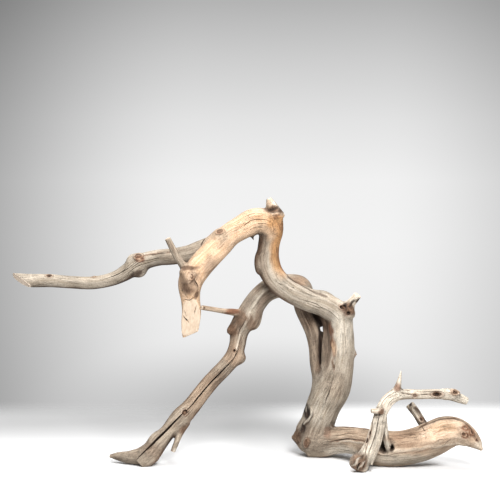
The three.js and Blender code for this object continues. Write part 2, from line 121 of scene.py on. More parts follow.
# Painted over the limbs' own tones in this order: tone, centre, half sizes, strength, tilt.
PATCHES = [
    ("drab", (86, -8, 178), (20, 26, 62), 1.0, 0),  # the rear limb behind the trunk: darker wood, with painted shade under the arch
    ("bark", (74, -12, 192), (13, 20, 28), 0.55, 35),
    ("drab", (105, -22, 152), (9, 16, 52), 1.0, 0),
    ("bark", (105, -22, 160), (9, 26, 46), 0.45, 0),
    ("bark", (104, -22, 186), (8, 16, 18), 0.7, 0),
    ("umber", (95, -8, 190), (8, 44, 22), 1.0, 30),
    # near-black painted shade in the gap and the slit
    ("hole_shade", (89, -8, 194), (2.6, 44, 20), 1.0, 35),
    ("hole_shade", (96.6, -8, 150), (2.6, 40, 40), 1.0, 0),
    ("bark", (86, -8, 160), (14, 40, 60), 0.35, 0),
    ("bark", (94, -14, 124), (5, 12, 12), 0.6, 0),
    ("bark", (62, -22, 236), (24, 24, 12), 0.45, 0),
    ("tan", (62, -22, 238), (22, 24, 11), 0.85, 0),  # the hump behind the slanting stretch
    ("amber", (44, -44, 285), (20, 28, 46), 1.0, 0),  # the right side of the upright stretch
    ("amber", (38, -58, 318), (17, 26, 18), 1.0, 0),
    ("honey", (20, -60, 306), (24, 18, 14), 0.8, 0),
    ("amber", (23, -60, 326), (16, 18, 11), 0.45, 0),
    ("rust", (38, -58, 329), (7, 12, 4), 0.6, 10),
    ("rust", (44, -52, 314), (5, 16, 8), 0.5, 20),
    ("silver", (12, -46, 262), (15, 26, 30), 0.8, 0),
    ("cream", (125, -38, 180), (18, 26, 44), 1.0, 0),
    ("cream", (96, -32, 60), (14, 20, 22), 0.35, 0),
    ("drab", (138, -14, 120), (16, 26, 34), 0.85, 0),
    ("drab", (115, -36, 103), (22, 18, 24), 0.95, 0),
    ("drab", (88, -20, 24), (34, 26, 30), 0.95, 0),
    ("rust", (110, -36, 176), (3.6, 14, 16), 0.9, 8),  # where the bark has torn off
    ("rust", (112.5, -36, 154), (5, 14, 17), 0.95, 5),
    ("tan", (115, -38, 151), (4, 24, 13), 0.8, 5),
    ("honey", (112.5, -36, 152), (2.2, 24, 11), 0.8, 5),
    ("bark", (113, -36, 132), (2.4, 14, 16), 0.9, 0),
    ("rust", (129, -43, 204), (10, 16, 13), 0.7, 20),  # the collar of the right stub, with near-black painted shade in its holes
    ("bark", (133, -43, 205), (10, 16, 13), 1.0, 20),
    ("hole_shade", (127, -42, 209), (3.4, 26, 6), 1.0, -30),
    ("hole_shade", (137, -38, 212), (3, 26, 8), 0.9, -40),
    ("umber", (145, -34, 217), (3.6, 26, 6), 1.0, -40),
    ("silver", (7, -18, 210), (22, 20, 22), 1.0, 0),
    ("bark", (-8, -14, 190), (11, 14, 13), 0.7, 0),
    ("rust", (-20, -20, 199), (17, 14, 6), 0.9, 6),
    ("bark", (-20, -12, 172), (10, 14, 13), 0.9, 0),
    ("bark", (5, -16, 180), (8, 14, 24), 0.7, 20),
    ("tan", (-66, -36, 88), (34, 24, 46), 0.6, -40),
    ("tan", (-20, -16, 142), (18, 24, 26), 0.6, 0),
    ("bark", (-44, -30, 112), (24, 24, 20), 0.35, -40),
    ("drab", (-92, -46, 277), (32, 24, 18), 0.95, 0),
    ("bark", (-122, -58, 20), (26, 22, 14), 0.4, -30),
    ("bark", (-72, -50, 62), (9, 16, 16), 0.45, -30),
    ("bark", (-83, -54, 47), (8, 16, 9), 0.9, -30),
    ("cream", (-83, -55, 70), (7, 20, 6), 0.6, -40),
    ("drab", (-54, -58, 286), (34, 16, 15), 0.95, 0),
    ("bark", (-35, -84, 312), (8, 14, 5.4), 0.95, 10),  # the knot of the crown
    ("blush", (-36, -86, 311.5), (3.6, 12, 2.6), 0.9, 0),
    ("tan", (-50, -90, 265), (13, 20, 18), 1.0, -40),
    ("tan", (-73, -114, 251), (16, 18, 20), 1.0, 0),  # the burl
    ("bark", (-83, -113, 256), (5, 14, 13), 0.35, 10),
    ("bark", (-74, -108, 267), (15, 14, 3.6), 0.9, 0),
    ("bark", (-74, -118, 243.5), (12.5, 24, 11.5), 0.85, 0),
    ("umber", (-77, -118, 239.5), (7, 24, 7), 0.35, 35),
    ("tan", (-70, -118, 246), (5, 24, 5), 0.7, 20),
    ("tan", (-66.5, -117, 244), (4, 12, 8), 0.8, -15),
    ("blush", (-74.5, -122, 256), (4.6, 12, 8), 1.0, 0),
    ("blush", (-70, -121, 260), (8, 12, 3.4), 1.0, 0),
    ("umber", (-67, -121, 250), (1.6, 26, 8), 0.7, 30),
    ("bark", (-65, -116, 233), (3, 26, 7), 0.9, -10),
    ("umber", (72, -14, 36), (9, 26, 24), 0.6, -40),
    ("hole_shade", (79.2, -14, 62.5), (6.4, 44, 14), 1.0, 8),  # the eye of the trunk, with near-black painted shade in its slit, its hole and the crack below
    ("cream", (78.4, -14, 65.5), (1.6, 40, 5), 0.75, 8),
    ("hole_shade", (74.3, -14, 42), (5, 44, 9), 1.0, 0),
    ("umber", (70, -14, 33), (1.6, 26, 10), 0.9, -40),
    ("hole_shade", (67, -14, 20), (2, 26, 7), 0.9, -40),
    ("hole_shade", (63, -10, 16), (5, 26, 3), 0.9, 40),
    ("bark", (66, -2, 26), (12, 18, 16), 0.8, 0),
    ("bark", (80, -22, 23), (4.4, 26, 9), 0.9, -15),
    ("tan", (80, -22, 23), (2, 26, 5), 0.8, -15),
    ("rust", (106, -30, 38), (7, 30, 9), 0.5, 0),
    ("tan", (218, -84, 38), (36, 22, 22), 0.75, 8),
    ("blush", (250, -88, 53), (38, 22, 15), 0.95, 8),  # the open hollow of the big root
    ("honey", (252, -90, 58), (24, 18, 10), 0.9, 8),
    ("tan", (288, -90, 50), (10, 14, 17), 0.8, 35),
    ("bark", (294, -90, 46), (3, 12, 16), 0.6, 35),
    ("rust", (282, -95, 57.5), (6.4, 26, 5.6), 0.95, 20),
    ("rust", (289.5, -95, 52), (6.4, 26, 5.6), 0.95, 20),
    ("rust", (281, -95, 47.5), (6.4, 26, 5.6), 0.95, 0),
    ("blush", (282, -95, 57.5), (2.8, 26, 2.4), 0.9, 20),
    ("blush", (289.5, -95, 52), (2.8, 26, 2.4), 0.9, 20),
    ("blush", (281, -95, 47.5), (2.8, 26, 2.4), 0.9, 0),
    ("cream", (299, -88, 34), (8, 14, 7), 0.4, 0),
    ("bark", (293, -90, 44), (14, 20, 24), 0.1, 35),
    ("silver", (200, -84, 12), (64, 24, 12), 0.9, 0),
    # pale wood, with painted light on the shaded under-edge by the elbow
    ("cream", (132, -40, 10), (40, 50, 18), 1.0, 0),
    ("tan", (200, -84, 46), (30, 26, 12), 1.0, 8),
    ("bark", (200, -84, 48), (30, 26, 10), 0.35, 8),
    # near-black painted shade in the hollow where the rear prong goes in
    ("hole_shade", (182, -72, 28), (10, 16, 7.5), 0.95, 10),
    ("bark", (144, -101, 13), (16, 30, 20), 0.95, -25),  # the root knob
    ("umber", (142, -104, 19), (1.8, 30, 13), 0.9, -48),
    ("cream", (139, -104, 15), (1.8, 30, 12), 0.6, -42),
    ("cream", (147, -104, 11), (1.8, 30, 12), 0.6, -30),
    ("drab", (228, -78, 98), (42, 20, 12), 0.35, 0),
    ("cream", (158, -106, 18), (4.6, 30, 26), 1.0, -14),
    ("cream", (166, -98, 50), (14, 26, 20), 0.5, -15),
    ("bark", (172, -104, 80), (5, 26, 5.4), 0.9, 0),
    ("rust", (194, -82, 109), (7, 26, 7), 0.8, 20),
    ("bark", (246, -78, 99), (9, 26, 4), 0.9, 0),
    ("cream", (251, -80, 98), (3, 26, 2.4), 0.8, 0),
    ("blush", (269, -74, 100), (8, 26, 4.6), 0.9, 0),
    # near-black painted shade in the hollow end of the grey stub
    ("hole_shade", (215, -44, 80), (4, 26, 5), 1.0, 30),
    ("umber", (236, -54, 56), (4, 26, 14), 0.9, 35),
    ("rust", (-141, -46, 272.5), (8, 24, 6.5), 0.85, -10),
    ("blush", (-141, -50, 272.5), (3, 24, 2.4), 0.9, -10),
    # near-black painted shade in the pit of a knot on the leg
    ("hole_shade", (-82, -58, 70), (5.4, 24, 5.4), 0.9, 0),
    ("blush", (-81, -60, 69.5), (2.6, 24, 2.6), 0.9, 0),
    ("bark", (-261, -33, 249), (5, 6, 3.5), 0.6, 0),
    ("umber", (-146, -40, 250), (16, 30, 7), 0.9, 35),
    ("umber", (-170, -45, 9), (13, 16, 6), 0.5, 0),
    ("cream", (-96, -61, 20), (5, 6, 7), 0.9, 0),
    # near-black painted shade in the inner corner under the crown
    ("hole_shade", (7, -50, 300), (4, 6, 7), 1.0, 0),
    ("bark", (32, -52, 337), (13, 22, 6), 1.0, 0),  # below the broken tip: dark wood, with painted shade on the ledge
    ("umber", (43, -50, 335), (9, 22, 5), 1.0, 35),
    ("drab", (38, -50, 345), (4, 22, 9), 0.8, 40),
    ("honey", (28, -52, 345), (5, 22, 8), 0.6, 0),
]

# Drawn along a limb's surface: tone, limb, strength, width, rise, and points of (share, degrees).
STROKES = [
    # the left side of the upright stretch: dark bark, with painted shade
    ("bark", "trunk", 0.75, 12.0, 0.0, [
        (0.95, -44), (0.9, -46), (0.85, -48), (0.81, -54), (0.77, -66), (0.72, -78)]),
    ("drab", "trunk", 0.95, 12.0, 0.0, [
        (0.95, -50), (0.9, -52), (0.85, -54), (0.81, -60), (0.77, -72), (0.72, -84)]),
    ("bark", "trunk", 1.0, 14.0, 0.0, [
        (0.95, -76), (0.9, -78), (0.85, -80), (0.81, -86), (0.77, -92), (0.7, -98)]),
    ("umber", "trunk", 1.0, 6.5, 0.0, [(0.96, -82), (0.9, -84), (0.86, -86), (0.82, -92), (0.77, -98)]),
    # the dark band round the base of the broken tip: dark wood, with painted shade in its groove
    ("umber", "top_stub", 0.8, 2.4, -0.8, [(0.42, -84), (0.42, -40), (0.42, 0), (0.42, 40), (0.42, 88)]),
    ("tan", "top_stub", 0.7, 2.2, 1.0, [(0.14, -60), (0.16, -20), (0.18, 20), (0.2, 60)]),
    ("rust", "trunk", 0.5, 6.0, 0.0, [(0.9, 66), (0.86, 74), (0.82, 80), (0.78, 86), (0.74, 88), (0.7, 86)]),
    ("umber", "trunk", 0.75, 3.0, -0.5, [(0.758, 68), (0.696, 74), (0.644, 60), (0.6, 48)]),
    ("umber", "trunk", 0.9, 1.6, -0.4, [(0.15, -32), (0.13, -31), (0.112, -35), (0.09, -46)]),
    ("umber", "trunk", 0.8, 2.0, -0.4, [(0.066, -72), (0.05, -60), (0.035, -50)]),
    ("cream", "trunk", 0.9, 2.6, 1.0, [(0.165, -44), (0.147, -38), (0.13, -37), (0.114, -42), (0.095, -52)]),
    ("cream", "leg", 0.55, 2.6, 0.6, [
        (0.618, -12), (0.574, -7), (0.526, -6), (0.503, 4), (0.464, 2), (0.407, 0)]),
    ("bark", "leg", 0.55, 8.0, -0.4, [(0.6, 22), (0.558, 30), (0.524, 52), (0.482, 72), (0.44, 78)]),
    ("bark", "leg", 0.35, 6.0, -0.3, [(0.6, -50), (0.563, -44), (0.52, -36), (0.48, -34)]),
    ("bark", "leg", 0.75, 8.0, 0.0, [(0.42, 80), (0.3, 82), (0.2, 84), (0.1, 78), (0.03, 70)]),
    ("bark", "leg", 0.5, 5.0, 0.0, [(0.42, -84), (0.3, -86), (0.2, -84), (0.1, -86)]),
    ("bark", "foot", 0.9, 3.4, -0.3, [(0.15, -84), (0.28, -86), (0.371, -92), (0.45, -92)]),
    ("bark", "foot", 0.4, 1.6, -0.3, [(0.17, -64), (0.28, -66), (0.371, -70)]),
    ("cream", "foot", 0.6, 2.0, 0.3, [(0.2, 2), (0.267, -5), (0.332, -10), (0.402, -10)]),
    ("bark", "foot", 0.95, 2.8, -0.7, [
        (0.69, -80), (0.74, -84), (0.8, -80), (0.86, -80), (0.9, -66), (0.93, -50)]),
    ("cream", "foot", 0.35, 3.4, 0.8, [
        (0.528, -2), (0.586, -2), (0.671, 4), (0.76, 24), (0.82, 40), (0.92, 57)]),
    ("rust", "foot", 0.5, 2.0, -0.3, [(0.19, -6), (0.267, -14), (0.332, -19), (0.402, -18)]),
    ("bark", "pale", 0.6, 1.7, -0.5, [(0.105, -4), (0.165, -38), (0.254, -50), (0.324, -69), (0.4, -60)]),
    ("bark", "pale", 0.3, 1.6, -0.4, [(0.12, 16), (0.164, 6), (0.262, 4), (0.346, -14), (0.42, -26)]),
    ("bark", "pale", 0.6, 1.7, -0.4, [(0.44, -84), (0.5, -78), (0.55, -70), (0.62, -60)]),
    ("bark", "pale", 0.5, 1.8, -0.4, [(0.46, 40), (0.56, 46), (0.68, 60), (0.8, 56), (0.9, 50)]),
    ("bark", "pale", 0.6, 1.6, -0.3, [(0.56, -24), (0.61, -12), (0.66, -2), (0.71, -9), (0.77, -8)]),
    ("rust", "branch", 0.5, 2.4, -0.3, [(0.25, 36), (0.31, 36), (0.37, 48)]),
    # painted shade along the underside of the branch
    ("umber", "branch", 1.0, 8.0, 0.0, [(0.46, -66), (0.52, -80), (0.6, -84), (0.75, -84), (0.9, -84)]),
    ("umber", "branch", 0.75, 7.0, 0.0, [(0.1, -84), (0.2, -84), (0.3, -84), (0.36, -80)]),
    ("umber", "grey_stub", 0.9, 3.0, -0.4, [(0.2, 50), (0.5, 50), (0.8, 46)]),
    ("umber", "grey_stub", 0.8, 2.4, 0.0, [(0.1, -74), (0.5, -70), (0.9, -66)]),
    ("cream", "grey_stub", 0.8, 3.0, 0.3, [(0.2, -16), (0.5, -12), (0.8, -6)]),
]

# Knots with a raised ring: limb, share of its length, degrees round it, size of the ring, height of
# the ring, depth of the middle, height of a stub in it, how much longer than wide, how dark the middle is.
KNOTS = [
    ("branch", 0.386, 46, 4.4, 1.0, 1.8, 1.9, 1.25, 0.1),
    ("branch", 0.833, 51, 2.8, 0.6, 2.2, 0.0, 1.5, 0.8),
    ("branch", 0.626, 68, 2.6, 0.4, 0.0, 1.8, 1.3, 0.0),
    ("crown", 0.324, 46, 4.2, 1.0, 1.8, 2.4, 1.2, 0.2),
    ("crown", 0.647, 8, 4.4, 0.8, 1.0, 2.4, 1.0, 0.0),
    ("trunk", 0.038, -24, 3.2, 0.8, 1.2, 0.6, 2.0, 0.0),
    ("trunk", 0.38, 82, 2.8, 0.4, 0.0, 1.6, 1.2, 0.1),
    ("trunk", 0.541, 38, 3.0, 1.0, 4.0, 0.6, 1.5, 0.8),
    ("trunk", 0.515, 46, 2.0, 0.6, 3.0, 0.0, 1.2, 0.8),
    ("leg", 0.179, -10, 3.8, 1.5, 2.2, 2.0, 1.2, 0.0),
    ("leg", 0.401, -15, 2.2, 0.6, 2.4, 0.0, 1.1, 0.9),
    ("pale", 0.646, 3, 3.0, 1.2, 1.4, 1.0, 1.1, 0.4),
    ("pale", 0.79, -6, 3.4, 0.7, 2.2, 0.0, 2.2, 0.3),
    ("pale", 0.90, -48, 3.2, 0.6, 2.2, 0.0, 1.8, 0.0),
    ("pale", 0.195, -62, 1.8, 0.4, 2.0, 0.0, 2.6, 0.9),
    ("pale", 0.247, -54, 1.6, 0.4, 2.0, 0.0, 2.6, 0.9),
    ("side_knob", 0.1, 0, 3.2, 1.0, 1.0, 0.6, 1.0, 0.4),
    ("foot", 0.878, -44, 2.8, 1.2, 1.4, 1.2, 1.1, 0.5),
    ("foot", 0.912, -45, 2.8, 1.2, 1.6, 0.6, 1.2, 0.6),
    ("foot", 0.885, -10, 2.8, 1.0, 1.6, 0.6, 1.2, 0.6),
    ("foot", 0.95, -30, 2.0, 0.6, 1.4, 0.0, 1.2, 0.6),
    ("leg", 0.75, -160, 5.0, 1.1, 1.8, 0.8, 1.3, 0.4),
    ("trunk", 0.3, 170, 6.0, 1.3, 1.8, 1.0, 1.4, 0.3),
    ("foot", 0.5, 165, 5.5, 1.2, 2.2, 0.6, 1.3, 0.5),
    ("crown", 0.45, 175, 4.5, 1.0, 1.6, 1.0, 1.2, 0.3),
    ("branch", 0.55, 190, 4.0, 0.9, 1.8, 0.6, 1.3, 0.5),
    ("grey_stub", 0.45, 10, 2.6, 0.8, 1.4, 0.0, 1.4, 0.7),
    ("leg_twig", 0.97, 10, 1.4, 0.2, 1.0, 0.0, 1.2, 0.8),
]
# How far from a knot's middle its parts lie, in knot sizes.
RING_WIDTH = 0.3
KNOT_REACH = 2.2  # within which a knot is felt
KNOT_BOWL = (0.1, 0.85)  # where the sunk middle starts to rise, and where it ends
KNOT_STUB = (0.15, 0.5)  # where the stub starts to fall, and where it ends
KNOT_LINES = [(0.72, 0.2, 0.8), (1.3, 0.16, 0.55)]  # dark lines: place, half width, strength
KNOT_EYE_RIM = (0.35, 0.8)  # where the dark of the middle starts to fade, and where it ends
KNOT_STAIN_RIM = (0.9, 1.6)  # the same for the stain
KNOT_LOOK = 0.15  # the least cosine between the way of a knot and that of the wood near it

# Fine checks that the drying wood opens everywhere, drawn by a seeded rule.
CHECKS = {"trunk": 16, "crown": 8, "branch": 12, "leg": 16, "foot": 12, "pale": 10, "toe": 2}
CHECK_LENGTH = (22, 62)
CHECK_WIDTH = (0.7, 1.3)
CHECK_DEPTH = (1.4, 2.8)
CHECK_FIRST, CHECK_LAST = 0.02, 0.98  # the shares of a limb's length between which they lie
CHECK_SLACK = 0.01  # the least range in which a check starts, as such a share
CHECK_WAVER = 9  # degrees by which a check wanders round its limb
CHECK_POINTS = 4
CHECK_SEED = 7

# The blades that open checks and cracks.
BLADE_PROUD = 3.0  # how far a blade stands out of the wood
BLADE_STEP = 5.0  # spacing of the points along it
BLADE_TIP = 0.15  # its width at its ends, as a share of its middle's
BURIED = 5.0  # a blade is left out where its path lies this much inside the wood
AFLOAT = 13.0  # or this much off it

# Relief of the weathered wood, in millimetres, and how strong it is on each limb.
RELIEF = {"Flute Height": 1.1, "Flute Width": 11.0, "Groove Depth": 0.55, "Groove Width": 5.5, "Stretch": 9.0}
FLUTE_GAIN = 2.4  # brings the flutes' noise to its full height
GROOVE_RIM = 0.075  # how far a groove reaches to each side, in the noise that draws it
GROOVE_PATCHES = {"width": 26.0, "stretch": 2.0, "seed": 21.0, "detail": 1.0}  # where grooves come at all
GROOVE_SCARCE = (0.42, 0.6)  # that noise where they start to come, and where they are full
ROUGHNESS = {
    "trunk": 0.42, "crown": 0.45, "branch": 0.35, "leg": 0.75, "toe": 0.9, "flank": 0.8, "web": 1.0,
    "foot": 0.7, "pale": 0.8, "heel": 1.0, "front_twig": 0.4, "leg_twig": 0.25, "leg_knob": 0.8,
    "low_stub": 0.6, "top_stub": 0.8, "right_stub": 0.5, "grey_stub": 0.8, "root_neck": 1.0,
    "front_prong": 0.8, "rear_prong": 0.6, "spike": 0.5, "side_knob": 0.6, "fork": 0.8,
    "splinter": 0.2, "outer_corner": 0.5,
}

# The limbs from root to tip: stations are (x, y, z, radius), and blend is the width of the fillet
# with which a limb grows out of those before it.
LIMBS = {
    "trunk": {
        "seed": 0.4, "blend": 0, "stations": [
            (85, 4, 9, 14.6), (88, 2, 22, 22.6), (94, -1, 45, 23), (102, -6, 70, 23.3),
            (113, -11, 95, 24.5), (121, -15, 120, 20.1), (125, -19, 147, 17.1), (124, -23, 173, 16.1),
            (120, -27, 196, 16), (103, -31, 209, 15.2), (80, -34, 217, 14.4), (56, -36, 228, 14.4),
            (41, -36, 239, 14.8), (31, -36, 252, 14.9), (26, -36, 268, 14.9), (27, -38, 287, 13.7),
            (29, -41, 304, 14.8), (25, -44, 321, 17),
        ],
    },
    "crown": {
        "seed": 2.1, "blend": 3, "stations": [
            (31, -43, 315, 15.7), (23, -45, 321, 16.7), (7, -48, 321, 16.4), (-8, -54, 314, 15.1),
            (-23, -61, 305, 14.6), (-35, -69, 293, 15.2), (-48, -79, 280, 15.4), (-61, -89, 266, 15.4),
            (-70, -98, 253, 15.1), (-73, -103, 240, 13.5), (-72, -105, 226, 11.7), (-71, -105, 210, 11.7),
            (-73, -104, 193, 11.6), (-75, -102, 170, 11.2),
        ],
    },
    "branch": {
        "seed": 3.3, "blend": 9, "stations": [
            (-34, -66, 299, 11.6), (-46, -62, 292, 11.1), (-62, -56, 285, 11.2), (-77, -50, 279, 10.9),
            (-98, -45, 275, 10.6), (-117, -41, 273, 10.5), (-133, -38, 269, 11), (-146, -36, 263, 11.5),
            (-158, -33, 254, 10.8), (-172, -31, 246, 9.4), (-187, -29, 241, 8.9), (-207, -27, 238, 8.7),
            (-234, -26, 239, 8.5), (-260, -26, 241, 8.9), (-284, -26, 241, 9.1), (-310, -26, 242, 9.1),
        ],
    },
    "leg": {
        "seed": 4.2, "blend": 7, "stations": [
            (-141, -57, 5, 11.7), (-130, -58, 15, 13.8), (-116.5, -55, 30.5, 11.6), (-104, -51, 45, 10.4),
            (-89, -46, 61, 12.9), (-75, -40, 75, 11.8), (-61, -34, 92, 11.3), (-46, -27, 109, 11.3),
            (-29, -19, 125, 11.5), (-18, -12, 138, 11.8), (-13, -6, 153, 11.4), (-10, -2, 170, 12.9),
            (-1, -2, 188, 15.4), (9, -4, 206, 15), (21, -8, 221, 14.6), (36, -11, 230, 15.2),
            (54, -13, 232, 15.9), (68, -14, 229, 16.5), (73, -11, 216, 13.8), (74, -7, 201, 10.9),
            (80, -5, 186, 9.9), (87, -4, 171, 10.1), (90, -4, 149, 8), (92, -6, 129, 8.2),
            (98, -7, 108, 10.6), (102, -8, 89, 11.9),
        ],
    },
    "toe": {
        "seed": 5.1, "blend": 3, "stations": [
            (-128, -58, 17, 11.7), (-144, -55, 12, 10.8), (-157, -50, 10, 8.3), (-170, -45, 10, 6),
            (-182, -41, 9, 2.6),
        ],
    },
    "flank": {
        "seed": 0.9, "blend": 4, "stations": [
            (110, -26, 215, 10.5), (105, -18, 194, 9.2), (108, -14, 173, 7.6), (107, -13, 150, 9),
            (106, -12, 122, 10.6), (105, -9, 97, 11.9),
        ],
    },
    "web": {
        "seed": 1.2, "blend": 4, "stations": [
            (93, 0, 211, 9), (93, 5, 196, 8.6), (91, 6, 184, 5.6), (91, 4, 173, 4.2), (94, 1, 158, 6),
            (97, -3, 138, 8),
        ],
    },
    "foot": {
        "seed": 1.7, "blend": 6, "stations": [
            (75, 4, 21, 13.3), (83, 3, 21, 22.1), (100, -4, 21, 20.7), (118, -14, 25, 18.2),
            (136, -29, 28, 17.6), (153, -47, 28, 19.2), (170, -58, 25, 22.1), (187, -62, 24, 22.5),
            (205, -65, 26, 21.7), (224, -68, 31, 22), (242, -71, 39, 21.9), (259, -74, 47, 20.9),
            (274, -78, 48, 17.8), (288, -82, 42, 12.5), (298, -86, 34, 7.1), (304, -88, 27, 1.9),
        ],
    },
    "pale": {
        "seed": 2.8, "blend": 5, "stations": [
            (147, -94, 2, 7.6), (148, -95, 12, 10.4), (153, -98, 24, 9.4), (159, -98, 37, 8),
            (164, -97, 52, 7.9), (169, -94, 67, 8), (174, -90, 80, 8.3), (181, -86, 91, 8.2),
            (191, -83, 98, 7.7), (203, -80, 99, 6.4), (221, -76, 98, 5.9), (239, -73, 98, 6.1),
            (255, -70, 97, 6.6), (266, -68, 95, 6.6), (277, -66, 91, 6.2), (287, -65, 87, 4.8),
        ],
    },
}

# Stubs, twigs and prongs: short limbs that grow out of the ones above.
SHOOT_BLEND = 5
SHOOTS = {
    "heel": [
        (91, 2, 43, 17), (80, 3, 35, 16), (70, 3, 27, 11), (63, 3, 25, 6), (59.5, 3, 25, 1.8),
    ],
    "front_twig": [
        (-76, -100, 260, 6.4), (-83, -99, 270, 5.1), (-91, -98, 282, 4.5), (-97, -97, 294, 4.2),
        (-102, -96, 304, 3.8),
    ],
    "leg_twig": [
        (-6, -8, 193, 6), (-18, -14, 197, 5), (-31, -24, 200, 3.7), (-45, -35, 204, 3.4),
        (-60, -46, 208, 3.3),
    ],
    "leg_knob": [
        (-11, -6, 186, 8), (-18, -8, 177, 6.6), (-23, -9, 171, 5.3), (-25, -10, 168, 2.6),
    ],
    "low_stub": [
        (-83, -46, 55, 7), (-88.5, -54, 43, 4.9), (-93.5, -60, 31, 3.8), (-98, -62, 19.5, 3.5),
    ],
    "top_stub": [
        (36, -45, 327, 12.5), (35, -45, 337, 11), (31, -45, 345, 7.8), (28, -45, 351.5, 4.4),
    ],
    "outer_corner": [
        (32, -43, 323, 13), (39, -43, 321.5, 12), (44.5, -43.5, 320, 10),
    ],
    "right_stub": [
        (125, -28, 198, 9.5), (132, -31, 207, 7.3), (139, -33, 215, 6), (145, -35, 223, 5.4),
    ],
    "grey_stub": [
        (240, -52, 41, 6.5), (231, -46, 54, 6), (222, -40, 68, 6), (214, -36, 78, 5.8),
    ],
    "root_neck": [
        (148, -92, 13, 8), (152, -76, 17, 8.5), (158, -56, 22, 10),
    ],
    "front_prong": [
        (171, -98, 62, 5.7), (168, -101, 43, 5.4), (164, -102, 27, 3.8), (160, -103, 11, 1.3),
    ],
    "rear_prong": [
        (175, -90, 69, 5.8), (178, -87, 51, 4.6), (181, -85, 36, 4.2), (182.5, -80, 27, 3.8),
        (183, -70, 20, 3.8),
    ],
    "spike": [
        (191, -83, 100, 5.9), (195, -82, 110, 4.6), (197, -81, 119, 2.8), (199, -80, 130, 1),
    ],
    "side_knob": [
        (172, -98, 81, 3.6), (165, -102, 81, 3.6), (159, -104, 82, 3.1),
    ],
    "splinter": [
        (8, -50, 307, 1.8), (6.5, -50, 301, 1.4), (8.5, -50, 297, 0.6),
    ],
    "fork": [
        (256, -70, 98, 5.4), (266, -72, 101, 4.4), (275, -73, 98, 3.6),
    ],
}

# Knots and swellings that stand out of the wood: centre, half sizes, and tilt as the viewer sees it.
LUMP_BLEND = 6
LUMPS = {
    "burl": {"at": (-74, -107, 250), "size": (12.5, 12, 17)},
    "burl_nub": {"at": (-75, -117, 256), "size": (4.6, 5.5, 8)},
    "burl_ball": {"at": (-71, -111, 242), "size": (9, 9, 10)},
    "crown_knot": {"at": (-36, -72, 305), "size": (7, 8, 6.5), "tilt": 20},
    "branch_bump": {"at": (-149, -36, 268), "size": (9, 8, 9.5)},
    "branch_knot": {"at": (-142, -41, 272), "size": (6, 7, 6)},
    "branch_under": {"at": (-142, -37, 257), "size": (10, 8, 10.5)},
    "diagonal_hump": {"at": (97, -31, 219), "size": (13, 9, 8.5)},
    "trunk_nub": {"at": (139, -19, 143), "size": (4.4, 4.5, 4)},
    "leg_corner": {"at": (-12, -10, 135), "size": (9.5, 9, 7.5)},
    "leg_bulge": {"at": (7, -4, 190), "size": (11.5, 10, 18)},
    "leg_shoulder": {"at": (-118, -55, 35), "size": (13, 9, 9), "tilt": 35},
    "elbow_lump": {"at": (79, -1, 21), "size": (13.5, 12, 13)},
    "end_knot": {"at": (281, -91, 50), "size": (6, 5, 6)},
    "bark_ledge": {"at": (14, -40, 265), "size": (4.6, 9, 13)},
    "corner_brow": {"at": (38.5, -43, 312), "size": (7.6, 12, 13)},
    "gap_strand": {"at": (97, 4, 187), "size": (9, 5, 12), "tilt": 30},
    "gap_back": {"at": (99, 4, 146.6), "size": (8, 5, 21.2)},
    "root_knob": {"at": (140, -99, 14), "size": (8.4, 9, 9.5)},
    "burl_brow": {"at": (-76, -109, 262), "size": (10, 7, 4.5)},
    "burl_lip": {"at": (-66, -112, 246), "size": (4, 4, 8), "tilt": -15},
    "collar": {"at": (132, -36, 201), "size": (8.5, 10, 11), "tilt": 40},
}

# Pits and rotted holes.
PIT_BLEND = 2
PITS = {
    "gap_wedge": {"at": (91, -14, 189), "size": (3.2, 13, 14), "tilt": 35},
    "gap_slit": {"at": (96.8, -12, 150), "size": (1.1, 9, 24)},
    "trunk_eye": {"at": (79.5, -19, 62), "size": (1.8, 6, 5.5), "tilt": 8},
    "trunk_hole": {"at": (74.5, -17, 42.5), "size": (1.4, 6, 3.4)},
    "leg_knot": {"at": (-82, -58, 70), "size": (4, 6, 4)},
    "leg_hole": {"at": (-18, -24, 147), "size": (2.5, 4, 2.5)},
    "collar_hole_high": {"at": (126, -42, 208), "size": (3, 5, 3)},
    "collar_hole_low": {"at": (132, -46, 200), "size": (2.4, 5, 2.6)},
    "grey_stub_end": {"at": (214, -36, 79), "size": (3.4, 3.4, 8), "tilt": 30},
    "arm_pit": {"at": (246, -80, 99), "size": (9, 4, 3.4)},
    "fork_pit": {"at": (269, -77, 100), "size": (4, 2.2, 2)},
}

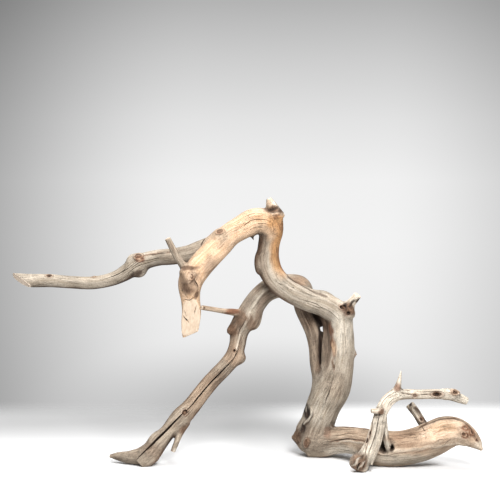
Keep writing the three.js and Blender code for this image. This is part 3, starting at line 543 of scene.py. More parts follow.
# Drying cracks: limb, depth, and points of (share of the limb's length, degrees round it, width).
CRACKS = {
    "leg_low": ("leg", 9, [
        (0.0, -34, 2.8), (0.05, -33, 4.4), (0.1, -23, 4.2), (0.15, -15, 3.4), (0.18, -13, 2.2)]),
    "leg_high": ("leg", 7, [
        (0.18, -12, 1.8), (0.22, -6, 2.6), (0.3, -3, 2.4), (0.37, -2, 2.0), (0.43, 18, 1.1)]),
    "foot_red": ("foot", 3, [
        (0.19, -6, 0.8), (0.23, -12, 1.5), (0.267, -14, 1.8), (0.332, -19, 1.9), (0.41, -18, 1.2)]),
    "foot_low": ("foot", 2, [(0.149, 48, 0.6), (0.255, 46, 1.1), (0.367, 24, 0.6)]),
    "foot_stripe": ("foot", 2, [(0.19, -30, 0.6), (0.26, -34, 1.1), (0.34, -44, 1.0), (0.4, -50, 0.6)]),
    "foot_high": ("foot", 2, [(0.18, -54, 0.6), (0.26, -60, 1.1), (0.36, -70, 0.7)]),
    "foot_edge": ("foot", 3, [
        (0.7, -84, 0.8), (0.751, -84, 1.6), (0.8, -78, 1.8), (0.86, -80, 1.6), (0.9, -64, 0.8)]),
    "foot_mark": ("foot", 2, [(0.7, -76, 0.8), (0.708, -60, 1.5), (0.712, -46, 0.8)]),
    "elbow_swirl": ("foot", 3, [
        (0.09, -40, 0.7), (0.098, -14, 1.7), (0.104, 9, 2.0), (0.13, 16, 1.7), (0.19, 16, 0.7)]),
    "elbow_second": ("foot", 2, [(0.12, -20, 0.6), (0.135, -4, 1.2), (0.17, 6, 1.2), (0.25, 8, 0.6)]),
    "elbow_side": ("trunk", 3, [(0.05, -84, 0.9), (0.032, -66, 1.7), (0.02, -48, 0.9)]),
    "eye_lip": ("trunk", 3, [(0.158, -48, 0.8), (0.13, -48, 1.7), (0.105, -56, 0.9)]),
    "trunk_line": ("trunk", 3, [(0.277, -14, 0.7), (0.252, -10, 1.3), (0.225, -10, 1.3), (0.2, -4, 0.7)]),
    "trunk_side": ("trunk", 2, [(0.381, 78, 0.7), (0.36, 76, 1.2), (0.335, 73, 0.7)]),
    "old_bark": ("trunk", 2, [(0.53, -56, 0.7), (0.5, -53, 1.4), (0.459, -52, 1.4), (0.42, -47, 0.7)]),
    "old_bark_low": ("trunk", 2, [(0.4, -33, 0.7), (0.365, -30, 1.6), (0.325, -18, 0.7)]),
    "slant_a": ("trunk", 2, [
        (0.69, -8, 0.6), (0.66, -6, 1.1), (0.628, -4, 1.1), (0.6, -14, 1.0), (0.583, -30, 0.6)]),
    "slant_b": ("trunk", 2, [(0.68, -22, 0.6), (0.64, -16, 1.0), (0.605, -24, 1.0), (0.575, -44, 0.6)]),
    "slant_c": ("trunk", 2, [(0.655, -30, 0.6), (0.62, -30, 1.0), (0.585, -46, 0.6)]),
    "slant_mark": ("trunk", 2, [(0.772, 2, 0.7), (0.763, 6, 1.7), (0.754, 10, 0.7)]),
    "slant_mark_high": ("trunk", 2, [(0.73, 28, 0.6), (0.72, 32, 1.5), (0.71, 35, 0.6)]),
    "hump_line": ("trunk", 3, [(0.71, 72, 0.8), (0.67, 65, 1.5), (0.644, 54, 1.5), (0.625, 44, 0.8)]),
    "crown_high": ("crown", 2, [
        (0.088, 46, 0.6), (0.13, 42, 1.1), (0.2, 44, 1.2), (0.245, 46, 1.1), (0.29, 46, 0.6)]),
    "crown_mid": ("crown", 2, [
        (0.023, 20, 0.7), (0.057, 12, 1.2), (0.114, 12, 1.3), (0.17, 9, 1.3), (0.222, -6, 0.7)]),
    "crown_low": ("crown", 2, [(0.03, -2, 0.6), (0.06, -6, 1.0), (0.127, -12, 1.1), (0.209, -21, 0.6)]),
    "crown_lowest": ("crown", 2, [(0.04, -26, 0.6), (0.134, -30, 1.0), (0.205, -30, 1.0), (0.3, -34, 0.6)]),
    "crown_crease": ("crown", 2, [
        (0.752, 60, 0.8), (0.745, 34, 1.3), (0.752, 10, 1.3), (0.743, -10, 1.2), (0.728, -46, 0.8)]),
    "burl_lid": ("crown", 2, [(0.63, 60, 0.8), (0.624, 36, 1.5), (0.62, 6, 0.8)]),
    "burl_left": ("crown", 3, [(0.64, 66, 1.0), (0.67, 58, 1.6), (0.7, 46, 1.6), (0.725, 30, 1.0)]),
    "burl_right": ("crown", 2.4, [
        (0.645, -4, 0.8), (0.66, -14, 1.3), (0.68, -32, 1.5), (0.7, -38, 1.4), (0.722, -26, 0.8)]),
    "burl_curl": ("crown", 2.5, [(0.636, 26, 0.8), (0.652, 32, 1.4), (0.672, 18, 1.7), (0.668, -2, 0.9)]),
    "arm": ("pale", 3, [(0.55, -26, 0.9), (0.575, -20, 1.5), (0.6, -12, 1.6), (0.635, -8, 0.9)]),
    "arm_middle": ("pale", 2.5, [(0.665, -6, 0.8), (0.71, -8, 1.5), (0.75, -14, 0.8)]),
    "arm_top": ("pale", 2.5, [(0.62, -56, 0.8), (0.7, -46, 1.5), (0.8, -42, 1.7), (0.88, -28, 0.9)]),
    "arm_low": ("pale", 2, [(0.7, 40, 0.7), (0.8, 34, 1.4), (0.92, 26, 0.8)]),
    "strand": ("pale", 2.5, [
        (0.105, -4, 0.7), (0.165, -38, 1.2), (0.254, -50, 1.4), (0.324, -69, 1.4), (0.4, -60, 0.7)]),
    "stem": ("pale", 2.5, [
        (0.12, 16, 0.8), (0.164, 6, 1.4), (0.262, 4, 1.6), (0.346, -14, 1.4), (0.42, -26, 0.8)]),
    "stem_right": ("pale", 3, [(0.2, 50, 0.8), (0.3, 40, 1.5), (0.4, 24, 0.8)]),
    "shoulder": ("pale", 3, [(0.4, -40, 0.9), (0.47, -46, 1.7), (0.54, -40, 0.9)]),
    "shoulder_low": ("pale", 3, [(0.42, 20, 0.9), (0.5, 12, 1.5), (0.6, 20, 0.8)]),
    "knob_a": ("pale", 3, [(0.0, -34, 1.6), (0.04, -28, 2.4), (0.09, -10, 1.2)]),
    "knob_b": ("pale", 3, [(0.0, 4, 1.4), (0.05, 14, 2.0), (0.1, 6, 1.0)]),
    "knob_c": ("pale", 3, [(0.0, -64, 1.4), (0.05, -60, 2.0), (0.1, -44, 1.0)]),
    "branch_line": ("branch", 2, [(0.254, 33, 0.8), (0.314, 33, 1.3), (0.366, 46, 0.8)]),
    "stub_side": ("grey_stub", 2, [(0.1, -30, 0.8), (0.5, -34, 1.4), (0.9, -24, 0.8)]),
}

# Cracks in the first flat cut of a limb: the limb, depth, and points of (x, z, width).
CUT_CRACKS = {
    "scarf_left": ("crown", 4, [
        (-82.8, 207.5, 1.0), (-79.8, 202.5, 2.2), (-77, 199, 2.6), (-74, 195.5, 1.2)]),
    "scarf_fine": ("crown", 2, [(-80.3, 214, 0.6), (-79, 209, 1.0), (-77.2, 204, 0.6)]),
    "scarf_right": ("crown", 3, [(-64.6, 221, 0.6), (-66.3, 214, 1.4), (-68.3, 206.5, 0.6)]),
}

# Hollows of a limb, older than the limbs after it: those of the big root lie behind the pale branch.
HOLLOW_BLEND = 3
HOLLOWS = {
    "foot": [
        {"at": (240, -100, 56), "size": (48, 16, 16), "tilt": 10},
        {"at": (180, -80, 29), "size": (10, 14, 7.5)},
    ],
}
# Flat cuts of a limb: a point of the cut and the way that its face looks.
CUTS = {
    "branch": [{"at": (-299, -26, 241), "facing": (-0.6, -0.47, -0.65)}],
    "top_stub": [{"at": (39.5, -44, 342), "facing": (0.78, 0, 0.63)}],
    "outer_corner": [{"at": (39.5, -44, 341), "facing": (0.78, 0, 0.63)}],
    "crown": [
        {"at": (-74, -106.5, 203), "facing": (0, -0.93, -0.36)},
        {"at": (-73, -98, 179.5), "facing": (0.42, 0, -0.91)},
    ],
}
CUT_REACH = 27  # how far a flat cut reaches from its point
END_REACH = 1.6  # how far a shoot's broken end reaches, in radii of its tip
CUT_NEAR = 1.5  # how far off a cut's plane its face may lie
CUT_LOOK = 0.66  # the least cosine between a cut's way and its face's
CUT_SHARE = 0.6  # the share of a face's corners that lie on a cut, from which the face does
CUT_RELIEF = 0.15  # the relief on a cut, as a share of the limb's
CUT_TONES = {
    "branch": "pith", "crown": "fresh", "front_twig": "fresh", "leg_twig": "fresh", "low_stub": "fresh",
    "right_stub": "fresh",
}

# The camera, in the tables' frame and in degrees below the horizon, and its lens in millimetres.
CAMERA_AT = (3.3, -2421.9, 533.3)
CAMERA_DOWN = 6.0
CAMERA_SENSOR = 36.0
CAMERA_LENS = 131.9

CAMERA_FAR = 100  # in metres, as the rest of the stage is

# Lights: place, size and power in watts.
LIGHTS = {
    "key": ((0.35, -1.8, 1.5), (0.9, 0.9), 74),
    "top": ((-0.1, -0.1, 1.9), (1.1, 0.8), 32),
}
LIGHTS_AIM = (0, 0, 0.15)
ROOM_LIGHT = 0.17

FLOOR_HALF = (1.3, 0.46)
FLOOR_FADE = 0.66  # the share of the way to its rim at which the floor starts to fade
FLOOR_WHITE = 0.95
FLOOR_BOUNCE = 0.52  # what the floor throws back at the wood
# The painted shade at the left back of the floor: where it starts and ends each way, and how deep it is.
FLOOR_LEFT_SHADE_X, FLOOR_LEFT_SHADE_Y, FLOOR_LEFT_SHADE = (0.14, -0.02), (0.0, 0.26), 0.5
# The soft shadow under the arch: where it is, its half sizes and its depth.
FLOOR_SHADOW = {"X": (0.05, 0.1), "Y": (0.18, 0.13), "depth": 0.35}
SPOT_RIM = (0.1, 1.5)  # where a soft shadow starts to fade and ends, in its half sizes

# The backdrop's painted shade: its grey by the rise of the line of sight, and the rises between which it is
# drawn.
BACKDROP_LOW, BACKDROP_HIGH = -0.25, 0.1
BACKDROP = [
    (-0.2, 0.80), (-0.186, 0.80), (-0.1747, 0.815), (-0.153, 0.85), (-0.1316, 0.875), (-0.1, 0.895),
    (-0.0665, 0.88), (-0.0336, 0.768), (0.0, 0.61), (0.03, 0.456),
]
# Where the backdrop darkens to the left and right, by the slope of the line of sight, and how much.
LEFT_SHADE = ((-0.025, -0.2), (-0.5, -0.25))
RIGHT_SHADE = ((0.07, 0.19), (0.5, 0.25))
LEFT_DEPTH, RIGHT_DEPTH = 0.7, 0.38
# The soft shadow that the wood throws on the backdrop.
WALL_SHADOW = {"X": (0.005, 0.085), "Z": (-0.192, 0.03), "depth": 0.42}


def unit(vectors):
    vectors = np.asarray(vectors, float)
    return vectors / np.linalg.norm(vectors, axis=-1, keepdims=True)


# Nodes

class Wiring:
    """Puts nodes in a tree and joins them. Each call gives the new node's output."""

    def __init__(self, tree):
        self.tree = tree

    def add(self, kind, inputs=None, output=0, **settings):
        node = self.tree.nodes.new(kind)
        for name, value in settings.items():
            setattr(node, name, value)
        for socket, value in (inputs or {}).items():
            if isinstance(value, bpy.types.NodeSocket):
                self.tree.links.new(value, node.inputs[socket])
            else:
                node.inputs[socket].default_value = value
        return node.outputs[output]

    def close(self, kind, shader):
        """Joins the finished shader to a new output node of the given kind."""
        self.tree.links.new(shader, self.tree.nodes.new(kind).inputs["Surface"])

    def group(self, tree, inputs):
        return self.add("ShaderNodeGroup", inputs, node_tree=tree)

    def math(self, operation, *values):
        return self.add("ShaderNodeMath", dict(enumerate(values)), operation=operation)

    def weighted(self, *parts):
        """The sum of values, each times its weight."""
        total = 0.0
        for value, weight in parts:
            total = self.math("MULTIPLY_ADD", value, weight, total)
        return total

    def away(self, *values):
        """How far off its middle a place is, from its offset on two axes."""
        return self.math("SQRT", self.math("ADD", *(self.math("POWER", value, 2.0) for value in values)))

    def vector(self, operation, *values):
        return self.add("ShaderNodeVectorMath", dict(enumerate(values)), operation=operation)

    def dot(self, a, b):
        return self.add("ShaderNodeVectorMath", {0: a, 1: b}, 1, operation="DOT_PRODUCT")

    def scaled(self, vector, scale):
        return self.add("ShaderNodeVectorMath", {0: vector, "Scale": scale}, operation="SCALE")

    def split(self, vector):
        """The parts of a vector, under the names of the axes."""
        return self.add("ShaderNodeSeparateXYZ", {0: vector}).node.outputs

    def mix(self, share, a, b, kind="RGBA"):
        first, output = {"FLOAT": (2, 0), "RGBA": (6, 2)}[kind]
        return self.add("ShaderNodeMix", {0: share, first: a, first + 1: b}, output, data_type=kind)

    def ease(self, value, low, high, start=0.0, end=1.0):
        """A smooth step from start to end, while value goes from low to high."""
        inputs = {"Value": value, "From Min": low, "From Max": high, "To Min": start, "To Max": end}
        return self.add("ShaderNodeMapRange", inputs, interpolation_type="SMOOTHSTEP")

    def noise(self, vector, detail=2.0, roughness=0.5):
        inputs = {"Vector": vector, "Scale": 1.0, "Detail": detail, "Roughness": roughness}
        return self.add("ShaderNodeTexNoise", inputs)

    def spot(self, values, depth, **places):
        """A soft round dimming: 1 - depth in its middle, 1 outside. Each axis has a place and a half size."""
        offsets = [self.math("DIVIDE", self.math("SUBTRACT", values[axis], place), half)
                   for axis, (place, half) in places.items()]
        return self.ease(self.away(*offsets), *SPOT_RIM, 1.0 - depth, 1.0)


def new_group(kind, name, inputs, outputs):
    """A node group with named sockets: its tree, its wiring, and the sockets at its start and end."""
    tree = bpy.data.node_groups.new(name, kind)
    for socket, (socket_kind, value) in inputs.items():
        made = tree.interface.new_socket(socket, in_out="INPUT", socket_type=socket_kind)
        if value is not None:
            made.default_value = value
    for socket, socket_kind in outputs.items():
        tree.interface.new_socket(socket, in_out="OUTPUT", socket_type=socket_kind)
    start, end = tree.nodes.new("NodeGroupInput"), tree.nodes.new("NodeGroupOutput")
    return tree, Wiring(tree), start.outputs, end.inputs


def new_geometry_tree(name, **inputs):
    inputs = {"Geometry": ("NodeSocketGeometry", None), **inputs}
    return new_group("GeometryNodeTree", name, inputs, {"Geometry": "NodeSocketGeometry"})


def read(w, name, kind="FLOAT_VECTOR"):
    """An attribute of the geometry that a tree works on."""
    return w.add("GeometryNodeInputNamedAttribute", {"Name": name}, data_type=kind)


def close_tree(w, geometry, end, material):
    plain = w.add("GeometryNodeRealizeInstances", {"Geometry": geometry})
    dressed = w.add("GeometryNodeSetMaterial", {"Geometry": plain, "Material": material})
    w.tree.links.new(dressed, end["Geometry"])


def grown(obj, tree, **inputs):
    """The plain mesh that a geometry tree makes of an object. The object itself is removed."""
    modifier = obj.modifiers.new(tree.name, "NODES")
    modifier.node_group = tree
    for item in tree.interface.items_tree:
        if item.in_out == "INPUT" and item.name in inputs:
            modifier[item.identifier] = inputs[item.name]
    return finished(obj)


def finished(obj):
    """The evaluated mesh of an object with its modifiers. The object itself is removed."""
    graph = bpy.context.evaluated_depsgraph_get()
    mesh = bpy.data.meshes.new_from_object(
        obj.evaluated_get(graph), preserve_all_data_layers=True, depsgraph=graph)
    bpy.data.objects.remove(obj)
    return mesh


# Meshes and their values

def as_object(name, mesh):
    obj = bpy.data.objects.new(name, mesh)
    bpy.context.scene.collection.objects.link(obj)
    return obj


def set_value(mesh, name, values):
    """Stores one number or vector at each vertex of a mesh."""
    values = np.asarray(values, np.float32)
    kind, field = ("FLOAT_VECTOR", "vector") if values.ndim == 2 else ("FLOAT", "value")
    layer = mesh.attributes.get(name) or mesh.attributes.new(name, kind, "POINT")
    layer.data.foreach_set(field, values.ravel())


def read_all(items, field, width=1, kind=np.int32):
    """A field of all the vertices, edges, corners or faces of a mesh, in rows of the given width."""
    values = np.empty(len(items) * width, kind)
    items.foreach_get(field, values)
    return values.reshape(-1, width) if width > 1 else values


def points_of(mesh):
    return read_all(mesh.vertices, "co", 3, np.float32).astype(float)


def normals_of(mesh):
    return read_all(mesh.vertices, "normal", 3, np.float32).astype(float)


def move_points(mesh, points):
    mesh.vertices.foreach_set("co", np.asarray(points, np.float32).ravel())
    mesh.update()


def chain(name, points, **values):
    """A row of points joined by edges, with values at the points."""
    mesh = bpy.data.meshes.new(name)
    mesh.from_pydata(points.tolist(), [(i, i + 1) for i in range(len(points) - 1)], [])
    set_value(mesh, "centre", points)
    for key, value in values.items():
        set_value(mesh, key, value)
    return as_object(name, mesh)


# Limbs

class Spine:
    """The centre line of a limb, sampled evenly, with its radius and the axes of its sections."""

    FINE = 60  # samples between two stations, before they are spaced evenly

    def __init__(self, stations, seed=0.0):
        stations = np.array(stations, float)
        points, radii = stations[:, :3], stations[:, 3]
        points = np.vstack([2 * points[0] - points[1], points, 2 * points[-1] - points[-2]])
        radii = np.concatenate([radii[:1], radii, radii[-1:]])
        share = np.linspace(0, 1, self.FINE, endpoint=False)
        line, sizes = [], []
        for i in range(len(stations) - 1):
            line.append(self.stretch(points[i:i + 4], share))
            sizes.append(self.spring(radii[i + 1], radii[i + 2], (radii[i + 2] - radii[i]) / 2,
                                     (radii[i + 3] - radii[i + 1]) / 2, share))
        line = np.vstack([*line, points[-2]])
        sizes = np.append(np.concatenate(sizes), radii[-1])
        fine = np.append(0, np.cumsum(np.linalg.norm(np.diff(line, axis=0), axis=1)))
        self.seed, self.length = seed, fine[-1]
        self.along = np.linspace(0, self.length, math.ceil(self.length / SPINE_STEP) + 1)
        self.centre = np.stack([np.interp(self.along, fine, axis) for axis in line.T], -1)
        self.radius = np.interp(self.along, fine, sizes)
        self.tangent = unit(np.gradient(self.centre, axis=0))
        self.back = unit(np.array([0, 1, 0]) - self.tangent * self.tangent[:, 1:2])
        self.side = np.cross(self.back, self.tangent)

    @staticmethod
    def spring(start, end, leaving, arriving, share):
        """A cubic from start to end with the given slopes."""
        square, cube = share ** 2, share ** 3
        return (start + leaving * share + (3 * (end - start) - 2 * leaving - arriving) * square
                + (2 * (start - end) + leaving + arriving) * cube)

    def stretch(self, four, share):
        """The centripetal spline between the middle two of four points."""
        first, second, third = np.maximum(1e-4, np.linalg.norm(np.diff(four, axis=0), axis=1) ** 0.5)
        a, b, c, d = four
        leaving = ((b - a) / first - (c - a) / (first + second) + (c - b) / second) * second
        arriving = ((c - b) / second - (d - b) / (second + third) + (d - c) / third) * second
        return self.spring(b, c, leaving, arriving, share[:, None])

    def at(self, share):
        """Centre, radius, tangent, back and side at shares of the length."""
        along = np.asarray(share, float) * self.length
        frames = [np.stack([np.interp(along, self.along, axis) for axis in values.T], -1)
                  for values in (self.centre, self.tangent, self.back, self.side)]
        return frames[0], np.interp(along, self.along, self.radius), *map(unit, frames[1:])

    def swell(self, angle, along):
        return 1 + sum(share * np.cos(lobes * angle + turn * self.seed + along / twist)
                       for lobes, share, turn, twist in SWELL)

    def surface(self, share, angle):
        """Points of the limb's surface and the way that they look. Angle 0 faces the viewer."""
        centre, radius, _, back, side = self.at(share)
        outward = side * np.sin(angle)[..., None] - back * np.cos(angle)[..., None]
        reach = radius * self.swell(angle, np.asarray(share) * self.length)
        return centre + outward * reach[..., None], outward


def limb_tree(material):
    """Sweeps a lobed round section along a limb's centre line."""
    tree, w, start, end = new_geometry_tree(
        "grown limb", Sides=("NodeSocketInt", RING_SIDES), Seed=("NodeSocketFloat", 0.0))
    line = w.add("GeometryNodeMeshToCurve", {"Mesh": start["Geometry"]})
    line = w.add("GeometryNodeSetCurveNormal", {"Curve": line, "Normal": read(w, "back")}, mode="FREE")
    ring = w.add("GeometryNodeCurvePrimitiveCircle", {"Resolution": start["Sides"], "Radius": 1.0})
    tube = w.add("GeometryNodeCurveToMesh", {
        "Curve": line, "Profile Curve": ring, "Scale": read(w, "size", "FLOAT"), "Fill Caps": True})
    centre = read(w, "centre")
    offset = w.vector("SUBTRACT", w.add("GeometryNodeInputPosition"), centre)
    forward = w.math("MULTIPLY", w.dot(offset, read(w, "back")), -1.0)
    angle = w.math("ARCTAN2", w.dot(offset, read(w, "side")), forward)
    swell = 1.0
    for lobes, share, turn, twist in SWELL:
        phase = w.math("MULTIPLY_ADD", angle, float(lobes), w.math("MULTIPLY", start["Seed"], turn))
        phase = w.math("ADD", phase, w.math("DIVIDE", read(w, "along", "FLOAT"), float(twist)))
        swell = w.math("MULTIPLY_ADD", w.math("COSINE", phase), share, swell)
    moved = w.vector("ADD", centre, w.scaled(offset, swell))
    close_tree(w, w.add("GeometryNodeSetPosition", {"Geometry": tube, "Position": moved}), end, material)
    return tree


def limb_mesh(name, spine, tree):
    row = chain(name, spine.centre, back=spine.back, side=spine.side, along=spine.along, size=spine.radius)
    return grown(row, tree, Sides=RING_SIDES, Seed=spine.seed)


# The fused wood, as distances on a grid

def smooth_min(a, b, blend):
    """The lower of two distances, with a fillet of the given width where they meet."""
    if blend <= 0:
        return np.minimum(a, b)
    near = np.clip(1 - np.abs(a - b) / blend, 0, 1)
    return np.minimum(a, b) - near * near * blend / 4


def tilted(points, at, tilt):
    """The offset of points from a place, on axes that are tilted as the viewer sees it."""
    turn = math.radians(tilt)
    x, y, z = np.moveaxis(points - np.array(at), -1, 0)
    return np.stack([x * math.cos(turn) + z * math.sin(turn), y,
                     z * math.cos(turn) - x * math.sin(turn)], -1)


def ellipsoid_distance(points, at, size, tilt=0):
    """The distance of points to an ellipsoid, near enough round its surface."""
    offset = tilted(points, at, tilt)
    reach = np.linalg.norm(offset / size, axis=-1)
    slope = np.linalg.norm(offset / np.square(size), axis=-1)
    return reach * (reach - 1) / np.maximum(slope, 1e-6)


class Grid:
    """Distances to the surface of the wood on a grid of voxels, negative inside it."""

    def __init__(self):
        self.low = np.floor(LOWEST / VOXEL).astype(int)
        self.shape = np.ceil(HIGHEST / VOXEL).astype(int) - self.low
        self.values = np.full(self.shape, BAND * VOXEL, np.float32)

    def window(self, low, high):
        """The part of the grid between two corners, with a margin: its slices and its lowest voxel."""
        low = np.maximum(np.floor(np.asarray(low) / VOXEL).astype(int) - BAND - self.low, 0)
        high = np.minimum(np.ceil(np.asarray(high) / VOXEL).astype(int) + BAND + 1 - self.low, self.shape)
        return tuple(slice(a, b) for a, b in zip(low, high)), low + self.low

    def places(self, window, corner):
        """The positions of a window's voxels."""
        size = self.values[window].shape
        axes = [(corner[i] + np.arange(size[i])) * VOXEL for i in range(3)]
        return np.stack(np.meshgrid(*axes, indexing="ij"), -1)

    def join_mesh(self, mesh, blend, cuts=(), hollows=()):
        """Adds a closed mesh, first shaped by its own flat cuts and hollows."""
        points = points_of(mesh)
        mesh.calc_loop_triangles()
        corners = read_all(mesh.loop_triangles, "vertices", 3)
        solid = openvdb.FloatGrid.createLevelSetFromPolygons(
            points.astype(np.float32), triangles=corners.astype(np.uint32),
            transform=openvdb.createLinearTransform(voxelSize=VOXEL), halfWidth=BAND)
        window, corner = self.window(points.min(0), points.max(0))
        local = np.empty(self.values[window].shape, np.float32)
        solid.copyToArray(local, ijk=tuple(int(i) for i in corner))
        places = self.places(window, corner) if cuts or hollows else None
        for cut in cuts:
            local = np.maximum(local, (places - cut["at"]) @ unit(cut["facing"]))
        for hollow in hollows:
            local = -smooth_min(-local, ellipsoid_distance(places, **hollow), HOLLOW_BLEND)
        self.values[window] = smooth_min(self.values[window], local, blend)

    def near(self, shape):
        """The part of the grid round an ellipsoid, and the distances to it there."""
        reach = max(shape["size"])
        window, corner = self.window(np.subtract(shape["at"], reach), np.add(shape["at"], reach))
        return window, ellipsoid_distance(self.places(window, corner), **shape)

    def join_lump(self, lump):
        window, distance = self.near(lump)
        self.values[window] = smooth_min(self.values[window], distance, LUMP_BLEND)

    def cut_pit(self, pit):
        window, distance = self.near(pit)
        self.values[window] = -smooth_min(-self.values[window], distance, PIT_BLEND)

    def cut_floor(self):
        """Wears the wood flat where it meets the floor."""
        height = (self.low[2] + np.arange(self.shape[2])) * VOXEL
        self.values = np.maximum(self.values, -height[None, None, :])

    def skin(self, name):
        """The surface of the wood as a mesh."""
        grid = openvdb.FloatGrid(BAND * VOXEL)
        grid.transform = openvdb.createLinearTransform(voxelSize=VOXEL)
        band = np.clip(self.values, -BAND * VOXEL, BAND * VOXEL).astype(np.float32)
        grid.copyFromArray(band, ijk=tuple(int(i) for i in self.low))
        points, _, quads = grid.convertToPolygons(isovalue=0.0, adaptivity=0.0)
        mesh = bpy.data.meshes.new(name)
        mesh.from_pydata(points, [], quads)
        return mesh

    def closeness(self, points, normals):
        """How much the wood closes in on the open side of each point: 0 on a bulge, more in a gap."""
        shares = [1 + self.depth(points + normals * reach) / reach for reach in CLOSE_REACHES]
        return np.clip(shares, 0, CLOSE_MOST).mean(0)

    def depth(self, points):
        """How far points lie below the whole surface, in millimetres."""
        place = np.clip(points / VOXEL - self.low, 0, self.shape - 1.001)
        cell = place.astype(int)
        part = place - cell
        found = np.zeros(len(points))
        for corner in np.ndindex(2, 2, 2):
            weight = np.prod(np.where(corner, part, 1 - part), axis=1)
            found -= weight * self.values[tuple((cell + corner).T)]
        return found


# Places on the wood

def ramp(value, low, high):
    """A smooth step from 0 to 1, as arrays."""
    share = np.clip((value - low) / (high - low), 0, 1)
    return share * share * (3 - 2 * share)


class Grain:
    """Where points lie on the two limbs nearest to them, and how much the second one counts."""

    def __init__(self, points, spines):
        self.names = list(spines)
        self.gap = np.full((2, len(points)), FAR)
        self.limb = np.zeros((2, len(points)), int)
        self.place = np.zeros((2, len(points), 3))
        for number, spine in enumerate(spines.values()):
            self.meet(points, number, spine)
        self.second = (1 - ramp(self.gap[1] - self.gap[0], 0, LIMB_FADE)) / 2

    def meet(self, points, number, spine):
        """Measures where the points near a limb lie on it."""
        reach = spine.radius.max() + LIMB_FADE
        inside = (points > spine.centre.min(0) - reach) & (points < spine.centre.max(0) + reach)
        near = np.flatnonzero(inside.all(axis=1))
        for part in np.array_split(near, len(near) // GRAIN_BATCH + 1):
            if not len(part):
                continue
            here = points[part]
            apart = (here ** 2).sum(1)[:, None] - 2 * here @ spine.centre.T + (spine.centre ** 2).sum(1)
            closest = apart.argmin(1)
            offset = here - spine.centre[closest]
            gap = np.linalg.norm(offset, axis=1) - spine.radius[closest]
            along = spine.along[closest] + (offset * spine.tangent[closest]).sum(1)
            right = (offset * spine.side[closest]).sum(1)
            front = -(offset * spine.back[closest]).sum(1)
            turn = along / GRAIN_TWIST
            place = np.stack([along + number * LIMB_APART, right * np.cos(turn) - front * np.sin(turn),
                              right * np.sin(turn) + front * np.cos(turn)], -1)
            self.keep(part, gap, number, place)

    def keep(self, part, gap, number, place):
        """Takes a limb up as the nearest or second nearest of those points where it is."""
        first = gap < self.gap[0, part]
        second = (gap < self.gap[1, part]) & ~first
        moved, taken = part[first], part[second]
        self.gap[1, moved], self.limb[1, moved] = self.gap[0, moved], self.limb[0, moved]
        self.place[1, moved] = self.place[0, moved]
        self.gap[0, moved], self.limb[0, moved], self.place[0, moved] = gap[first], number, place[first]
        self.gap[1, taken], self.limb[1, taken], self.place[1, taken] = gap[second], number, place[second]

    def blend(self, values):
        """A value of each limb, mixed between the two nearest."""
        values = np.array([values[name] for name in self.names], float)
        share = self.second if values.ndim == 1 else self.second[:, None]
        return values[self.limb[0]] * (1 - share) + values[self.limb[1]] * share


def soft_spot(points, at, size, tilt):
    """1 inside an ellipsoid, falling to 0 at its rim."""
    return 1 - ramp(np.linalg.norm(tilted(points, at, tilt) / size, axis=-1), PATCH_CORE, 1)


def wander(points):
    """Points that have drifted slowly all three ways, so that painted edges aren't smooth."""
    noise.seed_set(DRIFT_SEED)  # without it the drift would differ from run to run
    shift = np.array([noise.noise_vector(Vector(p / DRIFT_SIZE)) for p in points])
    return points + shift * DRIFT


# Relief and cuts

def flowing(w, place, width, stretch, seed):
    """A limb's place as the input of a noise that is long along the grain."""
    scale = w.add("ShaderNodeCombineXYZ", {
        "X": w.math("DIVIDE", 1.0, w.math("MULTIPLY", width, stretch)),
        "Y": w.math("DIVIDE", 1.0, width), "Z": w.math("DIVIDE", 1.0, width)})
    return w.vector("ADD", w.vector("MULTIPLY", place, scale), w.scaled(SEED_SHIFT, seed))


def relief_tree(material):
    """Raises long flutes and sinks narrow grooves along the grain."""
    tree, w, start, end = new_geometry_tree(
        "weathered relief", **{name: ("NodeSocketFloat", value) for name, value in RELIEF.items()})
    second = read(w, "second", "FLOAT")

    def layer(width, stretch, seed, detail):
        pair = [w.noise(flowing(w, read(w, name), width, stretch, seed), detail)
                for name in ("grain_a", "grain_b")]
        return w.mix(second, *pair, kind="FLOAT")

    flute = w.math("SUBTRACT", layer(start["Flute Width"], start["Stretch"], 3.0, 1.0), 0.5)
    height = w.math("MULTIPLY", w.math("MULTIPLY", flute, FLUTE_GAIN), start["Flute Height"])
    line = layer(start["Groove Width"], start["Stretch"], 11.0, 2.0)
    groove = w.ease(w.math("ABSOLUTE", w.math("SUBTRACT", line, 0.5)), 0.0, GROOVE_RIM, 1.0, 0.0)
    patchy = w.ease(layer(**GROOVE_PATCHES), *GROOVE_SCARCE)
    drop = w.math("MULTIPLY", w.math("MULTIPLY", groove, patchy), start["Groove Depth"])
    rise = w.math("MULTIPLY", w.math("SUBTRACT", height, drop), read(w, "rough", "FLOAT"))
    offset = w.scaled(w.add("GeometryNodeInputNormal"), rise)
    moved = w.add("GeometryNodeSetPosition", {"Geometry": start["Geometry"], "Offset": offset})
    close_tree(w, moved, end, material)
    return tree


